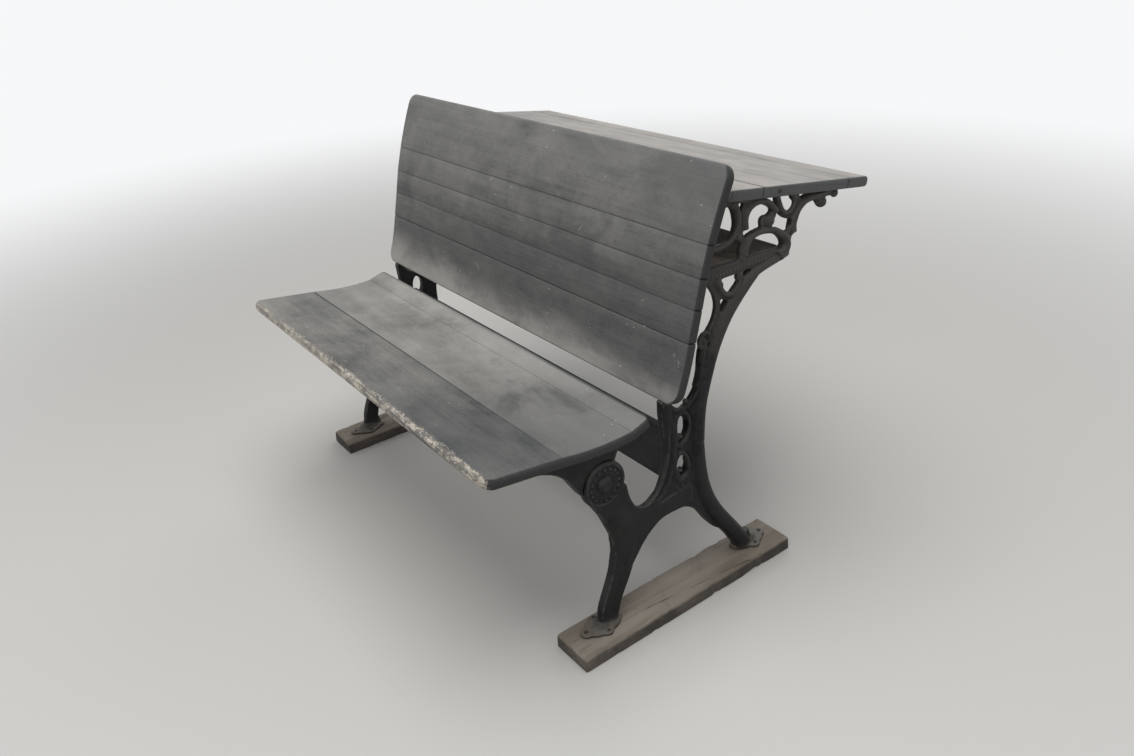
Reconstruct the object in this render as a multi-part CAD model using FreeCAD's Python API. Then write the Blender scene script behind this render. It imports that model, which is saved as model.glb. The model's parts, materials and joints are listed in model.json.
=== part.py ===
import FreeCAD, Part
import math
import os

# Double school bench-desk: a fold-up seat in front, a slatted back, and a sloping
# desk top with a lift lid for the pupil behind, all carried by two cast-iron standards.
# X runs along the bench, +Y points to the pupil behind, Z is up from the floor.
# While the pieces are made, depth is measured from the seat pivots; the finished pieces
# are moved so that the origin lies under the middle of the whole bench.

# Lengths along the bench: the seat and the desk top stop short of the back's ends,
# and the standards stand in from the ends of the seat
BACK_LENGTH = 1067.0
BACK_OVERHANG = 24.5
STANDARD_INSET = 16.0
SEAT_LENGTH = BACK_LENGTH - BACK_OVERHANG * 2
TOP_LENGTH = SEAT_LENGTH
STANDARD_SPACING = SEAT_LENGTH - STANDARD_INSET * 2

# Skid planks under the feet
SKID_LENGTH = 545.0
SKID_WIDTH = 90.0
SKID_HEIGHT = 32.0
SKID_OUTSET = 6.0
SKID_FRONT_REACH = 95.0
SKID_CHAMFER = 4.0

# Cast-iron standards
WEB_THICKNESS = 14.0
LEG_THICKNESS = 21.0
SCROLL_THICKNESS = 11.0
LEG_CHAMFER = 6.0
PIVOT_HEIGHT = 345.0
HEAD_RADIUS = 45.0
HEAD_THICKNESS = 18.0
HEAD_RIM_WIDTH = 7.0
HEAD_RIM_HEIGHT = 4.0
FRONT_FOOT_REACH = 20.0
REAR_FOOT_REACH = 375.0
FOOT_PLATE_LENGTH = 92.0
FOOT_PLATE_WIDTH = 60.0
FOOT_PLATE_THICKNESS = 7.0
FOOT_PLATE_CORNER = 16.0
LEDGE_REACH = 447.0
LEDGE_HEIGHT = 645.0
LEDGE_FRONT_DEPTH = 30.0
LEDGE_REAR_DEPTH = 19.0
LEDGE_END_SHARE = 0.45
LEDGE_FLANGE_WIDTH = 34.0
LEDGE_FLANGE_THICKNESS = 6.0
UPRIGHT_DEPTH = 17.0
FLANGE_WIDTH = 48.0
FLANGE_THICKNESS = 6.0
STRIP_FLANGE_WIDTH = 40.0
STRIP_FLANGE_THICKNESS = 6.0
EAR_WIDTH = 32.0
EAR_HEIGHT = 80.0
EAR_THICKNESS = 6.0
FRONT_LEG_THICKNESS = 18.0
REAR_LEG_HALF_WIDTH = 18.0
REAR_RIB_HALF_WIDTH = 13.0
RIB_END_HALF_WIDTH = 8.0
SCROLL_HALF_WIDTH = 6.0
TERMINAL_RADIUS = 11.0
SCOOP_CLEARANCE = 2.5
SCOOP_ANGLES = (20.0, -5.0, -31.0)

# Seat, listed from the front edge to the rear edge
SEAT_THICKNESS = 20.0
SEAT_FRONT_REACH = 236.0
SEAT_FRONT_RISE = 115.0
SEAT_FRONT_BOARD = 150.0
SEAT_MIDDLE_BOARD = 147.0
SEAT_REAR_BOARD = 44.0
SEAT_MIDDLE_DISH = 5.0
SEAT_NOSE_RADIUS = 8.0
SEAT_FRONT_CORNER = 28.0
SEAT_REAR_CORNER = 18.0
SEAT_ANGLES = (-7.3, -4.2, 17.0)

# Seat arms
ARM_GAP = 0.4
ARM_HUB_RADIUS = 39.0
ARM_HUB_THICKNESS = 18.0
ARM_WEB_THICKNESS = 10.0
ARM_FLANGE_WIDTH = 36.0
ARM_FLANGE_THICKNESS = 6.0
ARM_FRONT_SHARE = 0.25
ARM_REAR_SHARE = 0.85
ARM_WEB_FRONT_SHARE = 0.45
ARM_WEB_REAR_SHARE = 0.2
ARM_SWEEP_SHARE = 0.62
HUB_JOIN_SHARE = 0.125

# Seat pivots
BOLT_RADIUS = 8.0
BOLT_HEAD_RADIUS = 17.0
BOLT_HEAD_HEIGHT = 7.0
NUT_WIDTH = 27.0
NUT_THICKNESS = 11.0
BOLT_TAIL = 3.0
RUNNING_CLEARANCE = 0.05

# Back, listed from the bottom board to the top board; leans are from upright
BACK_THICKNESS = 19.0
BACK_FOOT_REACH = 132.0
BACK_FOOT_HEIGHT = 458.0
BACK_BOTTOM_BOARD = 116.0
BACK_LOWER_BOARD = 58.0
BACK_MIDDLE_BOARD = 54.0
BACK_UPPER_BOARD = 57.0
BACK_TOP_BOARD = 131.0
BACK_BOTTOM_DISH = 3.0
BACK_TOP_CROWN = 2.0
BACK_CORNER_RADIUS = 26.0
BACK_ANGLES = (17.5, 13.8, 13.0, 17.0, 21.9)
BACK_HOLD_SHARE = 0.62

# Desk top: a fixed strip and a two-board lid on one slope
TOP_THICKNESS = 20.0
TOP_ANGLE = 7.9
SEAM_REACH = 366.0
SEAM_HEIGHT = 790.0
STRIP_WIDTH = 80.0
LID_DEPTH = 292.0
LID_EDGE_BOARD = 60.0
LID_SEAM_GAP = 1.6
LID_CORNER_RADIUS = 8.0
TONGUE_DEPTH = 6.0
TONGUE_THICKNESS = 6.0
LID_REST_GAP = 0.3

# Lid hinges
HINGE_INSET = 209.0
HINGE_SPREAD = TOP_LENGTH - HINGE_INSET * 2
HINGE_LENGTH = 75.0
LEAF_WIDTH = 28.0
LEAF_THICKNESS = 2.5
KNUCKLE_RADIUS = 4.5
KNUCKLE_GAP = 0.4
PIN_RADIUS = 2.0
GROOVE_CLEARANCE = 0.6
LEAF_CLEARANCE = 0.2

# Book shelf and stretcher
SHELF_THICKNESS = 14.0
SHELF_END_GAP = 0.5
SHELF_REAR_INSET = 14.0
STRETCHER_REACH = 155.0
STRETCHER_THICKNESS = 20.0
STRETCHER_BOTTOM = 276.0
STRETCHER_DEPTH = 106.0

# Gaps between pieces, and the overrun of cuts
BOARD_GAP = 0.5
SEAT_GAP = 0.3
OVERRUN = 5.0
DOME_SHARES = ((1.0, 0), (0.6, 1.0))
STRAIGHT_SHARE = 0.0001

# Faces of the right-hand standard, measured along X
WEB_INNER = (STANDARD_SPACING - WEB_THICKNESS) / 2
WEB_OUTER = (STANDARD_SPACING + WEB_THICKNESS) / 2
SCROLL_INNER = (STANDARD_SPACING - SCROLL_THICKNESS) / 2
DEG = math.pi / 180


def at(y, z, x=0.0):
    return FreeCAD.Vector(x, y, z)


def mix(low, high, share):
    return low + (high - low) * share


def arc(first, middle, last):
    chord = last.sub(first)
    bow = middle.sub(first).cross(chord).Length / chord.Length
    if bow < chord.Length * STRAIGHT_SHARE:
        return Part.LineSegment(first, last).toShape()
    return Part.Arc(first, middle, last).toShape()


def line(first, last):
    return Part.LineSegment(first, last).toShape()


def smooth_line(points, closed=False):
    """Smooth curve through the points, and its parameter at each of them."""
    curve = Part.BSplineCurve()
    curve.interpolate(points, PeriodicFlag=closed)
    knots = [curve.parameter(point) for point in points]
    return curve, knots + [curve.LastParameter] if closed else knots


def arcs_through(points, closed=False):
    """Row of arcs that follows the smooth curve through the points."""
    curve, knots = smooth_line(points, closed)
    edges = []
    for knot, following in zip(knots, knots[1:]):
        edges.append(arc(*[curve.value(place) for place in (knot, (knot + following) / 2, following)]))
    return edges


def polygon(corners):
    return [line(first, last) for first, last in zip(corners, corners[1:] + corners[:1])]


def raise_outline(edges, x_from, x_to):
    face = Part.Face(Part.Wire(edges))
    face.translate(at(0, 0, x_from))
    return face.extrude(at(0, 0, x_to - x_from))


def box(x_span, y_span, z_span):
    size = [high - low for low, high in (x_span, y_span, z_span)]
    return Part.makeBox(*size, at(y_span[0], z_span[0], x_span[0]))


def mirrored(shape):
    return shape.mirror(at(0, 0), at(0, 0, 1))


def pair(shape):
    return [shape, mirrored(shape)]


def fused(shapes):
    return shapes[0].multiFuse(shapes[1:]).removeSplitter()


# Boards whose section follows a chain of chords, each tilted by its own angle

class Chain:
    """A row of boards seen in section: points on the show face and square joints between them."""

    def __init__(self, start, widths, directions, bows, depth_side):
        self.widths = widths
        self.bows = bows
        self.along = [at(math.cos(angle * DEG), math.sin(angle * DEG)) for angle in directions]
        self.depth = [at(-d.z * depth_side, d.y * depth_side) for d in self.along]
        self.joints = [start]
        for direction, width in zip(self.along, widths):
            self.joints.append(self.joints[-1].add(direction * width))
        self.splits = []
        for index in range(len(widths) + 1):
            before = self.depth[max(index - 1, 0)]
            after = self.depth[min(index, len(widths) - 1)]
            self.splits.append(before.add(after).normalize())

    def point(self, board, share, offset):
        chord = self.joints[board] * (1 - share) + self.joints[board + 1] * share
        split = (self.splits[board] * (1 - share) + self.splits[board + 1] * share).normalize()
        bow = self.bows[board] * share * (1 - share) * 4
        return chord.add(self.depth[board] * bow).add(split * offset)

    def edge(self, board, low, high, offset):
        shares = (low, (low + high) / 2, high)
        return arc(*[self.point(board, share, offset) for share in shares])

    def board(self, board, thickness, gap):
        trim = gap / 2 / self.widths[board]
        low, high = trim, 1 - trim
        show = [self.point(board, share, 0) for share in (low, high)]
        back = [self.point(board, share, thickness) for share in (low, high)]
        return [
            self.edge(board, low, high, 0),
            line(show[1], back[1]),
            self.edge(board, high, low, thickness),
            line(back[0], show[0]),
        ]

    def strip(self, spans, near, far):
        edges = [self.edge(board, low, high, near) for board, low, high in spans]
        edges += [line(edges[-1].lastVertex().Point, self.point(spans[-1][0], spans[-1][2], far))]
        edges += [self.edge(board, high, low, far) for board, low, high in reversed(spans)]
        edges += [line(self.point(spans[0][0], spans[0][1], far), edges[0].firstVertex().Point)]
        return edges


BACK = Chain(
    at(BACK_FOOT_REACH, BACK_FOOT_HEIGHT),
    (BACK_BOTTOM_BOARD, BACK_LOWER_BOARD, BACK_MIDDLE_BOARD, BACK_UPPER_BOARD, BACK_TOP_BOARD),
    [90 - lean for lean in BACK_ANGLES],
    (BACK_BOTTOM_DISH, 0, 0, 0, -BACK_TOP_CROWN),
    -1,
)
SEAT = Chain(
    at(-SEAT_FRONT_REACH, PIVOT_HEIGHT + SEAT_FRONT_RISE),
    (SEAT_FRONT_BOARD, SEAT_MIDDLE_BOARD, SEAT_REAR_BOARD),
    SEAT_ANGLES,
    (0, SEAT_MIDDLE_DISH, 0),
    -1,
)
BACK_NAMES = ("bottom", "lower", "middle", "upper", "top")
SEAT_NAMES = ("front", "middle", "rear")
BACK_SPANS = [(0, 0, 1), (1, 0, 1), (2, 0, 1), (3, 0, 1), (4, 0, BACK_HOLD_SHARE)]
BACK_SEAT = BACK_THICKNESS + SEAT_GAP
BACK_REAR = BACK_SEAT + FLANGE_THICKNESS
SEAT_UNDER = SEAT_THICKNESS + SEAT_GAP
SEAT_BELOW = SEAT_UNDER + ARM_FLANGE_THICKNESS
PIVOT = at(0, PIVOT_HEIGHT)
TOP_ALONG = at(math.cos(TOP_ANGLE * DEG), -math.sin(TOP_ANGLE * DEG))
TOP_DOWN = at(-math.sin(TOP_ANGLE * DEG), -math.cos(TOP_ANGLE * DEG))
SEAM = at(SEAM_REACH, SEAM_HEIGHT)
LEDGE_SLOPE = (LEDGE_FRONT_DEPTH - LEDGE_REAR_DEPTH) / (LEDGE_REACH - BACK_FOOT_REACH)


def top_at(along, down):
    return SEAM.add(TOP_ALONG * along).add(TOP_DOWN * down)


def under_top(y):
    start = top_at(0, TOP_THICKNESS)
    return start.z - (y - start.y) * math.tan(TOP_ANGLE * DEG)


def ledge_top(y):
    return LEDGE_HEIGHT + LEDGE_REAR_DEPTH + (LEDGE_REACH - y) * LEDGE_SLOPE


def back_at(z, offset):
    for board in range(len(BACK_NAMES)):
        low = BACK.point(board, 0, offset)
        high = BACK.point(board, 1, offset)
        if z <= high.z:
            break
    return mix(low.y, high.y, (z - low.z) / (high.z - low.z))


# Places on a standard, as shares of the spans between the pieces that it joins

def leg_place(share_y, share_z):
    y = mix(-FRONT_FOOT_REACH, REAR_FOOT_REACH, share_y)
    return at(y, mix(SKID_HEIGHT, PIVOT_HEIGHT, share_z))


def post_place(share_y, share_z):
    y = mix(-FRONT_FOOT_REACH, REAR_FOOT_REACH, share_y)
    return at(y, mix(PIVOT_HEIGHT, LEDGE_HEIGHT, share_z))


def top_place(share_y, share_z):
    start = back_at(LEDGE_HEIGHT + LEDGE_FRONT_DEPTH, BACK_SEAT + UPRIGHT_DEPTH)
    y = mix(start, LEDGE_REACH, share_y)
    return at(y, mix(ledge_top(y), under_top(y), share_z))


LEG_FRONT_SHARES = ((-0.052, 0.97), (-0.03, 0.904), (0.023, 0.792), (0.079, 0.626), (0.088, 0.51),
                    (0.07, 0.38), (0.038, 0.27), (0.006, 0.17), (-0.004, 0.0))
LEG_REAR_SHARES = ((0.08, 0.0), (0.091, 0.144), (0.155, 0.29), (0.235, 0.438), (0.344, 0.56), (0.443, 0.582))
ARCH_SHARES = ((0.155, 0.29), (0.235, 0.438), (0.344, 0.56), (0.443, 0.582), (0.56, 0.543),
               (0.64, 0.438), (0.73, 0.29), (0.80, 0.235))
SCOOP_SHARES = ((0.335, 0.74), (0.27, 0.71), (0.21, 0.78), (0.17, 0.94))
LEG_RIB_SHARES = ((0.955, 0.02), (0.83, 0.249), (0.725, 0.435), (0.655, 0.617), (0.62, 0.824),
                  (0.61, 1.0))
POST_RIB_SHARES = ((0.623, 0.183), (0.648, 0.382), (0.686, 0.548), (0.747, 0.714), (0.823, 0.84),
                   (0.924, 0.947), (1.05, 0.995), (1.165, 1.02))
LOW_CURL_SHARES = ((0.41, 0.39), (0.445, 0.315), (0.506, 0.259), (0.567, 0.296), (0.613, 0.375))
KNOT_SHARES = ((0.613, 0.375), (0.634, 0.50), (0.65, 0.63), (0.705, 0.72), (0.738, 0.84),
               (0.70, 0.97), (0.64, 1.04))
HANGING_SHARES = ((0.73, 1.02), (0.75, 0.92), (0.80, 0.868), (0.865, 0.91), (0.858, 1.02))
FRONT_SCROLL_SHARES = ((-0.04, 0.40), (0.11, 0.30), (0.25, 0.29), (0.36, 0.44), (0.372, 0.75),
                       (0.31, 0.95), (0.21, 0.90))
ARCH_SCROLL_SHARES = ((0.455, 0.06), (0.48, 0.27), (0.566, 0.37), (0.70, 0.40), (0.83, 0.35),
                      (0.93, 0.185), (0.955, -0.14))
MIDDLE_SCROLL_SHARES = ((0.47, 0.29), (0.425, 0.46), (0.44, 0.71), (0.50, 0.93), (0.62, 0.96),
                        (0.74, 0.88), (0.82, 0.70), (0.785, 0.57), (0.71, 0.55))
CUP_SHARES = ((0.855, 1.0), (0.885, 0.75), (0.98, 0.59), (1.068, 0.62), (1.05, 1.0))
ARM_SHARES = ((0.99, -0.05), (1.032, 0.30), (1.058, 0.57), (1.12, 0.78), (1.25, 0.90),
              (1.42, 0.92), (1.59, 0.95))
MIDDLE_TERMINAL_SHARES = (0.71, 0.56)
ARM_TERMINAL_SHARES = (1.40, 0.92)
UPPER_HOLE_SHARES = ((0.495, 0.035), (0.478, 0.13), (0.503, 0.222), (0.545, 0.14))
LOWER_HOLE_SHARES = ((0.505, 0.80), (0.478, 0.885), (0.512, 0.962), (0.545, 0.878))


def band_edges(points, half_widths, inset):
    """Outline of a bar that follows a smooth line, with round ends."""
    curve, knots = smooth_line(points)
    stations = []
    for index, (knot, following) in enumerate(zip(knots, knots[1:])):
        stations.append((knot, half_widths[index]))
        stations.append(((knot + following) / 2, (half_widths[index] + half_widths[index + 1]) / 2))
    stations.append((knots[-1], half_widths[-1]))
    left, right, tips = [], [], []
    for knot, half_width in stations:
        middle = curve.value(knot)
        ahead = curve.tangent(knot)[0]
        side = at(-ahead.z, ahead.y) * (half_width - inset)
        left.append(middle.add(side))
        right.append(middle.sub(side))
        tips.append((middle, ahead * (half_width - inset)))
    edges = [arc(*left[i:i + 3]) for i in range(0, len(left) - 2, 2)]
    edges.append(arc(left[-1], tips[-1][0].add(tips[-1][1]), right[-1]))
    right.reverse()
    edges += [arc(*right[i:i + 3]) for i in range(0, len(right) - 2, 2)]
    edges.append(arc(right[-1], tips[0][0].sub(tips[0][1]), left[0]))
    return edges


def leg_band(points, half_widths):
    """Leg or rib of a standard, flat inside and eased along its outer edges."""
    outer = WEB_INNER + LEG_THICKNESS
    sections = []
    for x, inset in ((WEB_INNER, 0), (outer - LEG_CHAMFER, 0), (outer, LEG_CHAMFER)):
        wire = Part.Wire(band_edges(points, half_widths, inset))
        wire.translate(at(0, 0, x))
        sections.append(wire)
    return Part.makeLoft(sections, True, True)


def even(points, first, last):
    count = len(points) - 1
    return [mix(first, last, index / count) for index in range(count + 1)]


def scroll(points):
    widths = even(points, SCROLL_HALF_WIDTH, SCROLL_HALF_WIDTH)
    return raise_outline(band_edges(points, widths, 0), SCROLL_INNER, SCROLL_INNER + SCROLL_THICKNESS)


def terminal(place):
    """Round boss that ends a scroll."""
    start = at(place.y, place.z, SCROLL_INNER)
    return Part.makeCylinder(TERMINAL_RADIUS, SCROLL_THICKNESS, start, at(0, 0, 1))


def seat_sweep_radius():
    rear = SEAT.joints[-1]
    return rear.sub(PIVOT).Length + SCOOP_CLEARANCE


def web():
    """The solid heart of a standard: arch below, seat scoop and strut in front, curl on top."""
    arch_line = [leg_place(*share) for share in ARCH_SHARES]
    rib_line = [leg_place(*share) for share in LEG_RIB_SHARES[2:]]
    rib_line += [post_place(*share) for share in POST_RIB_SHARES[:2]]
    curl_line = [post_place(*share) for share in reversed(LOW_CURL_SHARES)]
    scoop_line = [leg_place(*share) for share in SCOOP_SHARES]
    leg_line = [leg_place(*share) for share in LEG_FRONT_SHARES[:6]]
    radius = seat_sweep_radius()
    scoop_top, scoop_middle, scoop_low = [
        PIVOT.add(at(math.cos(angle * DEG), math.sin(angle * DEG)) * radius) for angle in SCOOP_ANGLES
    ]
    strut_top = at(BACK.joints[0].y, curl_line[-1].z)
    outline = arcs_through(arch_line) + [line(arch_line[-1], rib_line[0])]
    outline += polygon(rib_line)[:-1] + [line(rib_line[-1], curl_line[0])]
    outline += arcs_through(curl_line) + [line(curl_line[-1], strut_top), line(strut_top, scoop_top)]
    outline += [arc(scoop_top, scoop_middle, scoop_low)] + arcs_through([scoop_low] + scoop_line)
    outline += [line(scoop_line[-1], PIVOT), line(PIVOT, leg_line[0])]
    outline += polygon(leg_line)[:-1] + [line(leg_line[-1], arch_line[0])]
    return raise_outline(outline, WEB_INNER, WEB_OUTER)


def front_leg():
    """Broad plate that runs down from the pivot head to the front foot."""
    front_line = [leg_place(*share) for share in LEG_FRONT_SHARES]
    rear_line = [leg_place(*share) for share in LEG_REAR_SHARES]
    scoop_line = [leg_place(*share) for share in SCOOP_SHARES]
    outline = arcs_through(front_line) + [line(front_line[-1], rear_line[0])] + arcs_through(rear_line)
    outline += [line(rear_line[-1], scoop_line[0])] + arcs_through(scoop_line)
    outline += [line(scoop_line[-1], PIVOT), line(PIVOT, front_line[0])]
    return raise_outline(outline, WEB_INNER, WEB_INNER + FRONT_LEG_THICKNESS)


def head():
    """Round pivot head with a raised rim, turned about the pivot."""
    face = HEAD_THICKNESS - HEAD_RIM_HEIGHT
    inner = HEAD_RADIUS - HEAD_RIM_WIDTH
    profile = [
        at(0, 0), at(HEAD_RADIUS, 0), at(HEAD_RADIUS, face),
        at(HEAD_RADIUS - HEAD_RIM_HEIGHT, HEAD_THICKNESS), at(inner, HEAD_THICKNESS),
        at(inner, face), at(0, face), at(0, 0),
    ]
    turned = Part.Face(Part.makePolygon(profile)).revolve(at(0, 0), at(0, 1), 360)
    turned.rotate(at(0, 0), at(1, 0), 90)
    turned.translate(at(PIVOT.y, PIVOT.z, WEB_INNER))
    return turned


def head_dish():
    """Room for the bolt head inside the head's rim."""
    face = WEB_INNER + HEAD_THICKNESS - HEAD_RIM_HEIGHT
    start = at(PIVOT.y, PIVOT.z, face)
    return Part.makeCylinder(HEAD_RADIUS - HEAD_RIM_WIDTH, LEG_THICKNESS, start, at(0, 0, 1))


def foot_plate(reach):
    middle = STANDARD_SPACING / 2
    plate = box(
        (middle - FOOT_PLATE_WIDTH / 2, middle + FOOT_PLATE_WIDTH / 2),
        (reach - FOOT_PLATE_LENGTH / 2, reach + FOOT_PLATE_LENGTH / 2),
        (SKID_HEIGHT, SKID_HEIGHT + FOOT_PLATE_THICKNESS),
    )
    corners = [edge for edge in plate.Edges if edge.BoundBox.ZLength > FOOT_PLATE_THICKNESS / 2]
    return plate.makeChamfer(FOOT_PLATE_CORNER, corners)


def ledge():
    """Bar at the shelf end, with the inner flange that the shelf lies on."""
    front = back_at(LEDGE_HEIGHT, BACK_REAR)
    corners = [
        at(front, LEDGE_HEIGHT), at(LEDGE_REACH, LEDGE_HEIGHT),
        at(LEDGE_REACH, ledge_top(LEDGE_REACH)), at(front, ledge_top(front)), at(front, LEDGE_HEIGHT),
    ]
    bar = Part.Face(Part.makePolygon(corners))
    bar.translate(at(0, 0, WEB_INNER))
    bar = bar.extrude(at(0, 0, WEB_THICKNESS))
    ends = [at(LEDGE_REACH, z, STANDARD_SPACING / 2) for z in (LEDGE_HEIGHT, ledge_top(LEDGE_REACH))]
    bar = rounded(bar, ends, LEDGE_REAR_DEPTH * LEDGE_END_SHARE)
    start, end = shelf_span()
    low = [at(y, ledge_top(y) - SHELF_THICKNESS - LEDGE_FLANGE_THICKNESS) for y in (start, end)]
    high = [at(y, ledge_top(y) - SHELF_THICKNESS) for y in (end, start)]
    flange = Part.Face(Part.makePolygon(low + high + low[:1]))
    flange.translate(at(0, 0, WEB_INNER - LEDGE_FLANGE_WIDTH))
    return [bar, flange.extrude(at(0, 0, LEDGE_FLANGE_WIDTH + WEB_THICKNESS / 2))]


def shelf_span():
    start = back_at(ledge_top(BACK_FOOT_REACH), BACK_REAR) + SEAT_GAP
    return start, LEDGE_REACH - SHELF_REAR_INSET


def uprights():
    """Bar behind the back boards, with a wide flange that the boards are screwed to."""
    bar = raise_outline(BACK.strip(BACK_SPANS, BACK_SEAT, BACK_SEAT + UPRIGHT_DEPTH), WEB_INNER, WEB_OUTER)
    flange = raise_outline(BACK.strip(BACK_SPANS, BACK_SEAT, BACK_REAR), WEB_OUTER - FLANGE_WIDTH, WEB_OUTER)
    return [bar, flange]


def strip_flange():
    """Plate under the end of the desk top's fixed strip."""
    low = TOP_THICKNESS + STRIP_FLANGE_THICKNESS
    corners = [
        top_at(-STRIP_WIDTH, TOP_THICKNESS), top_at(-LID_SEAM_GAP, TOP_THICKNESS),
        top_at(-LID_SEAM_GAP, low), top_at(-STRIP_WIDTH, low), top_at(-STRIP_WIDTH, TOP_THICKNESS),
    ]
    plate = Part.Face(Part.makePolygon(corners))
    plate.translate(at(0, 0, WEB_OUTER - STRIP_FLANGE_WIDTH))
    return plate.extrude(at(0, 0, STRIP_FLANGE_WIDTH))


def ear():
    """Lug behind the end of the stretcher board."""
    rear = STRETCHER_REACH + STRETCHER_THICKNESS + SEAT_GAP
    middle = STRETCHER_BOTTOM + STRETCHER_DEPTH / 2
    return box(
        (WEB_INNER - EAR_WIDTH, WEB_INNER + WEB_THICKNESS / 2),
        (rear, rear + EAR_THICKNESS),
        (middle - EAR_HEIGHT / 2, middle + EAR_HEIGHT / 2),
    )


def above_top():
    """Space that the fixed strip and the lid take up, with the lid's rest gap below it."""
    reach = LID_DEPTH + STRIP_WIDTH
    corners = [
        top_at(-STRIP_WIDTH - OVERRUN, TOP_THICKNESS), top_at(-LID_SEAM_GAP / 2, TOP_THICKNESS),
        top_at(-LID_SEAM_GAP / 2, TOP_THICKNESS + LID_REST_GAP), top_at(reach, TOP_THICKNESS + LID_REST_GAP),
        top_at(reach, -reach), top_at(-STRIP_WIDTH - OVERRUN, -reach),
    ]
    return raise_outline(polygon(corners), 0, TOP_LENGTH)


def back_space():
    """Space in front of the uprights that the back boards take up."""
    spans = [(board, 0, 1) for board in range(len(BACK_NAMES))]
    edges = BACK.strip(spans, -BACK_LENGTH / 2, BACK_SEAT)
    return raise_outline(edges, WEB_INNER - FLANGE_WIDTH, TOP_LENGTH)


def dome_headed(head_radius, head_height, shank_radius, length):
    """Solid turned about Z: a domed head above the origin and a plain shank below it."""
    shoulder = [at(head_radius * radius, head_height * height) for radius, height in DOME_SHARES]
    profile = [at(0, -length), at(shank_radius, -length), at(shank_radius, 0)]
    profile += shoulder + [at(0, head_height), at(0, -length)]
    return Part.Face(Part.makePolygon(profile)).revolve(at(0, 0), at(0, 1), 360)


def pivot_bore():
    radius = BOLT_RADIUS + RUNNING_CLEARANCE
    return Part.makeCylinder(radius, TOP_LENGTH, at(PIVOT.y, PIVOT.z, 0), at(0, 0, 1))


def standard():
    rear_rib = [leg_place(*share) for share in LEG_RIB_SHARES]
    rear_rib += [post_place(*share) for share in POST_RIB_SHARES]
    turn = len(LEG_RIB_SHARES)
    rib_widths = even(rear_rib[:turn], REAR_LEG_HALF_WIDTH, REAR_RIB_HALF_WIDTH)
    rib_widths += even(rear_rib[turn:], REAR_RIB_HALF_WIDTH, RIB_END_HALF_WIDTH)
    shapes = [web(), head(), front_leg(), leg_band(rear_rib, rib_widths)]
    shapes += [foot_plate(reach) for reach in (-FRONT_FOOT_REACH, REAR_FOOT_REACH)]
    shapes += ledge() + uprights() + [strip_flange(), ear()]
    for shares in (KNOT_SHARES, HANGING_SHARES):
        shapes.append(scroll([post_place(*share) for share in shares]))
    for shares in (FRONT_SCROLL_SHARES, ARCH_SCROLL_SHARES, MIDDLE_SCROLL_SHARES, CUP_SHARES, ARM_SHARES):
        shapes.append(scroll([top_place(*share) for share in shares]))
    shapes.append(terminal(top_place(*MIDDLE_TERMINAL_SHARES)))
    shapes.append(terminal(top_place(*ARM_TERMINAL_SHARES).sub(at(0, TERMINAL_RADIUS))))
    casting = fused(shapes)
    holes = [arcs_through([post_place(*share) for share in UPPER_HOLE_SHARES], True)]
    holes.append(arcs_through([leg_place(*share) for share in LOWER_HOLE_SHARES], True))
    holes = [raise_outline(hole, WEB_INNER - OVERRUN, WEB_OUTER + OVERRUN) for hole in holes]
    below = box((0, TOP_LENGTH), (-TOP_LENGTH, TOP_LENGTH), (-SKID_HEIGHT, SKID_HEIGHT))
    room = [above_top(), back_space(), below, head_dish(), pivot_bore()]
    return casting.cut(holes + room)


def arm_flange_x():
    outer = WEB_INNER - ARM_GAP
    return outer - ARM_FLANGE_WIDTH, outer


def seat_arm():
    """Iron arm that turns on the pivot and carries the seat boards on its dished flange."""
    spans = [(0, ARM_FRONT_SHARE, 1), (1, 0, 1), (2, 0, ARM_REAR_SHARE)]
    low, high = arm_flange_x()
    inner = high - ARM_HUB_THICKNESS
    flange = raise_outline(SEAT.strip(spans, SEAT_UNDER, SEAT_BELOW), low, high)
    hub_start = at(PIVOT.y, PIVOT.z, inner)
    hub = Part.makeCylinder(ARM_HUB_RADIUS, ARM_HUB_THICKNESS, hub_start, at(0, 0, 1))
    hub_side = at(ARM_HUB_RADIUS, ARM_HUB_RADIUS * HUB_JOIN_SHARE)
    hub_front, hub_rear = PIVOT.sub(hub_side), PIVOT.add(hub_side)
    front_tip = SEAT.point(0, ARM_WEB_FRONT_SHARE, SEAT_BELOW)
    rear_tip = SEAT.point(2, ARM_WEB_REAR_SHARE, SEAT_BELOW)
    front_middle, rear_middle = [
        at(mix(tip.y, side.y, ARM_SWEEP_SHARE), mix(side.z, tip.z, ARM_SWEEP_SHARE))
        for tip, side in ((front_tip, hub_front), (rear_tip, hub_rear))
    ]
    inside = (SEAT_UNDER + SEAT_BELOW) / 2
    ridge_places = ((2, ARM_WEB_REAR_SHARE), (1, 1 / 2), (0, ARM_WEB_FRONT_SHARE))
    ridge = [SEAT.point(board, share, inside) for board, share in ridge_places]
    outline = [
        arc(front_tip, front_middle, hub_front),
        line(hub_front, hub_rear),
        arc(hub_rear, rear_middle, rear_tip),
        line(rear_tip, ridge[0]),
        arc(*ridge),
        line(ridge[2], front_tip),
    ]
    arm_web = raise_outline(outline, inner, inner + ARM_WEB_THICKNESS)
    return fused([flange, hub, arm_web]).cut(pivot_bore())


def nut_face():
    return WEB_INNER - ARM_GAP - ARM_HUB_THICKNESS - ARM_GAP


def pivot_bolt():
    """Round-headed bolt through the standard's head and the seat arm's hub."""
    seat_x = WEB_INNER + HEAD_THICKNESS - HEAD_RIM_HEIGHT
    tail_x = nut_face() - NUT_THICKNESS - BOLT_TAIL
    bolt = dome_headed(BOLT_HEAD_RADIUS, BOLT_HEAD_HEIGHT, BOLT_RADIUS, seat_x - tail_x)
    bolt.rotate(at(0, 0), at(1, 0), 90)
    bolt.translate(at(PIVOT.y, PIVOT.z, seat_x))
    return bolt


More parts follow.
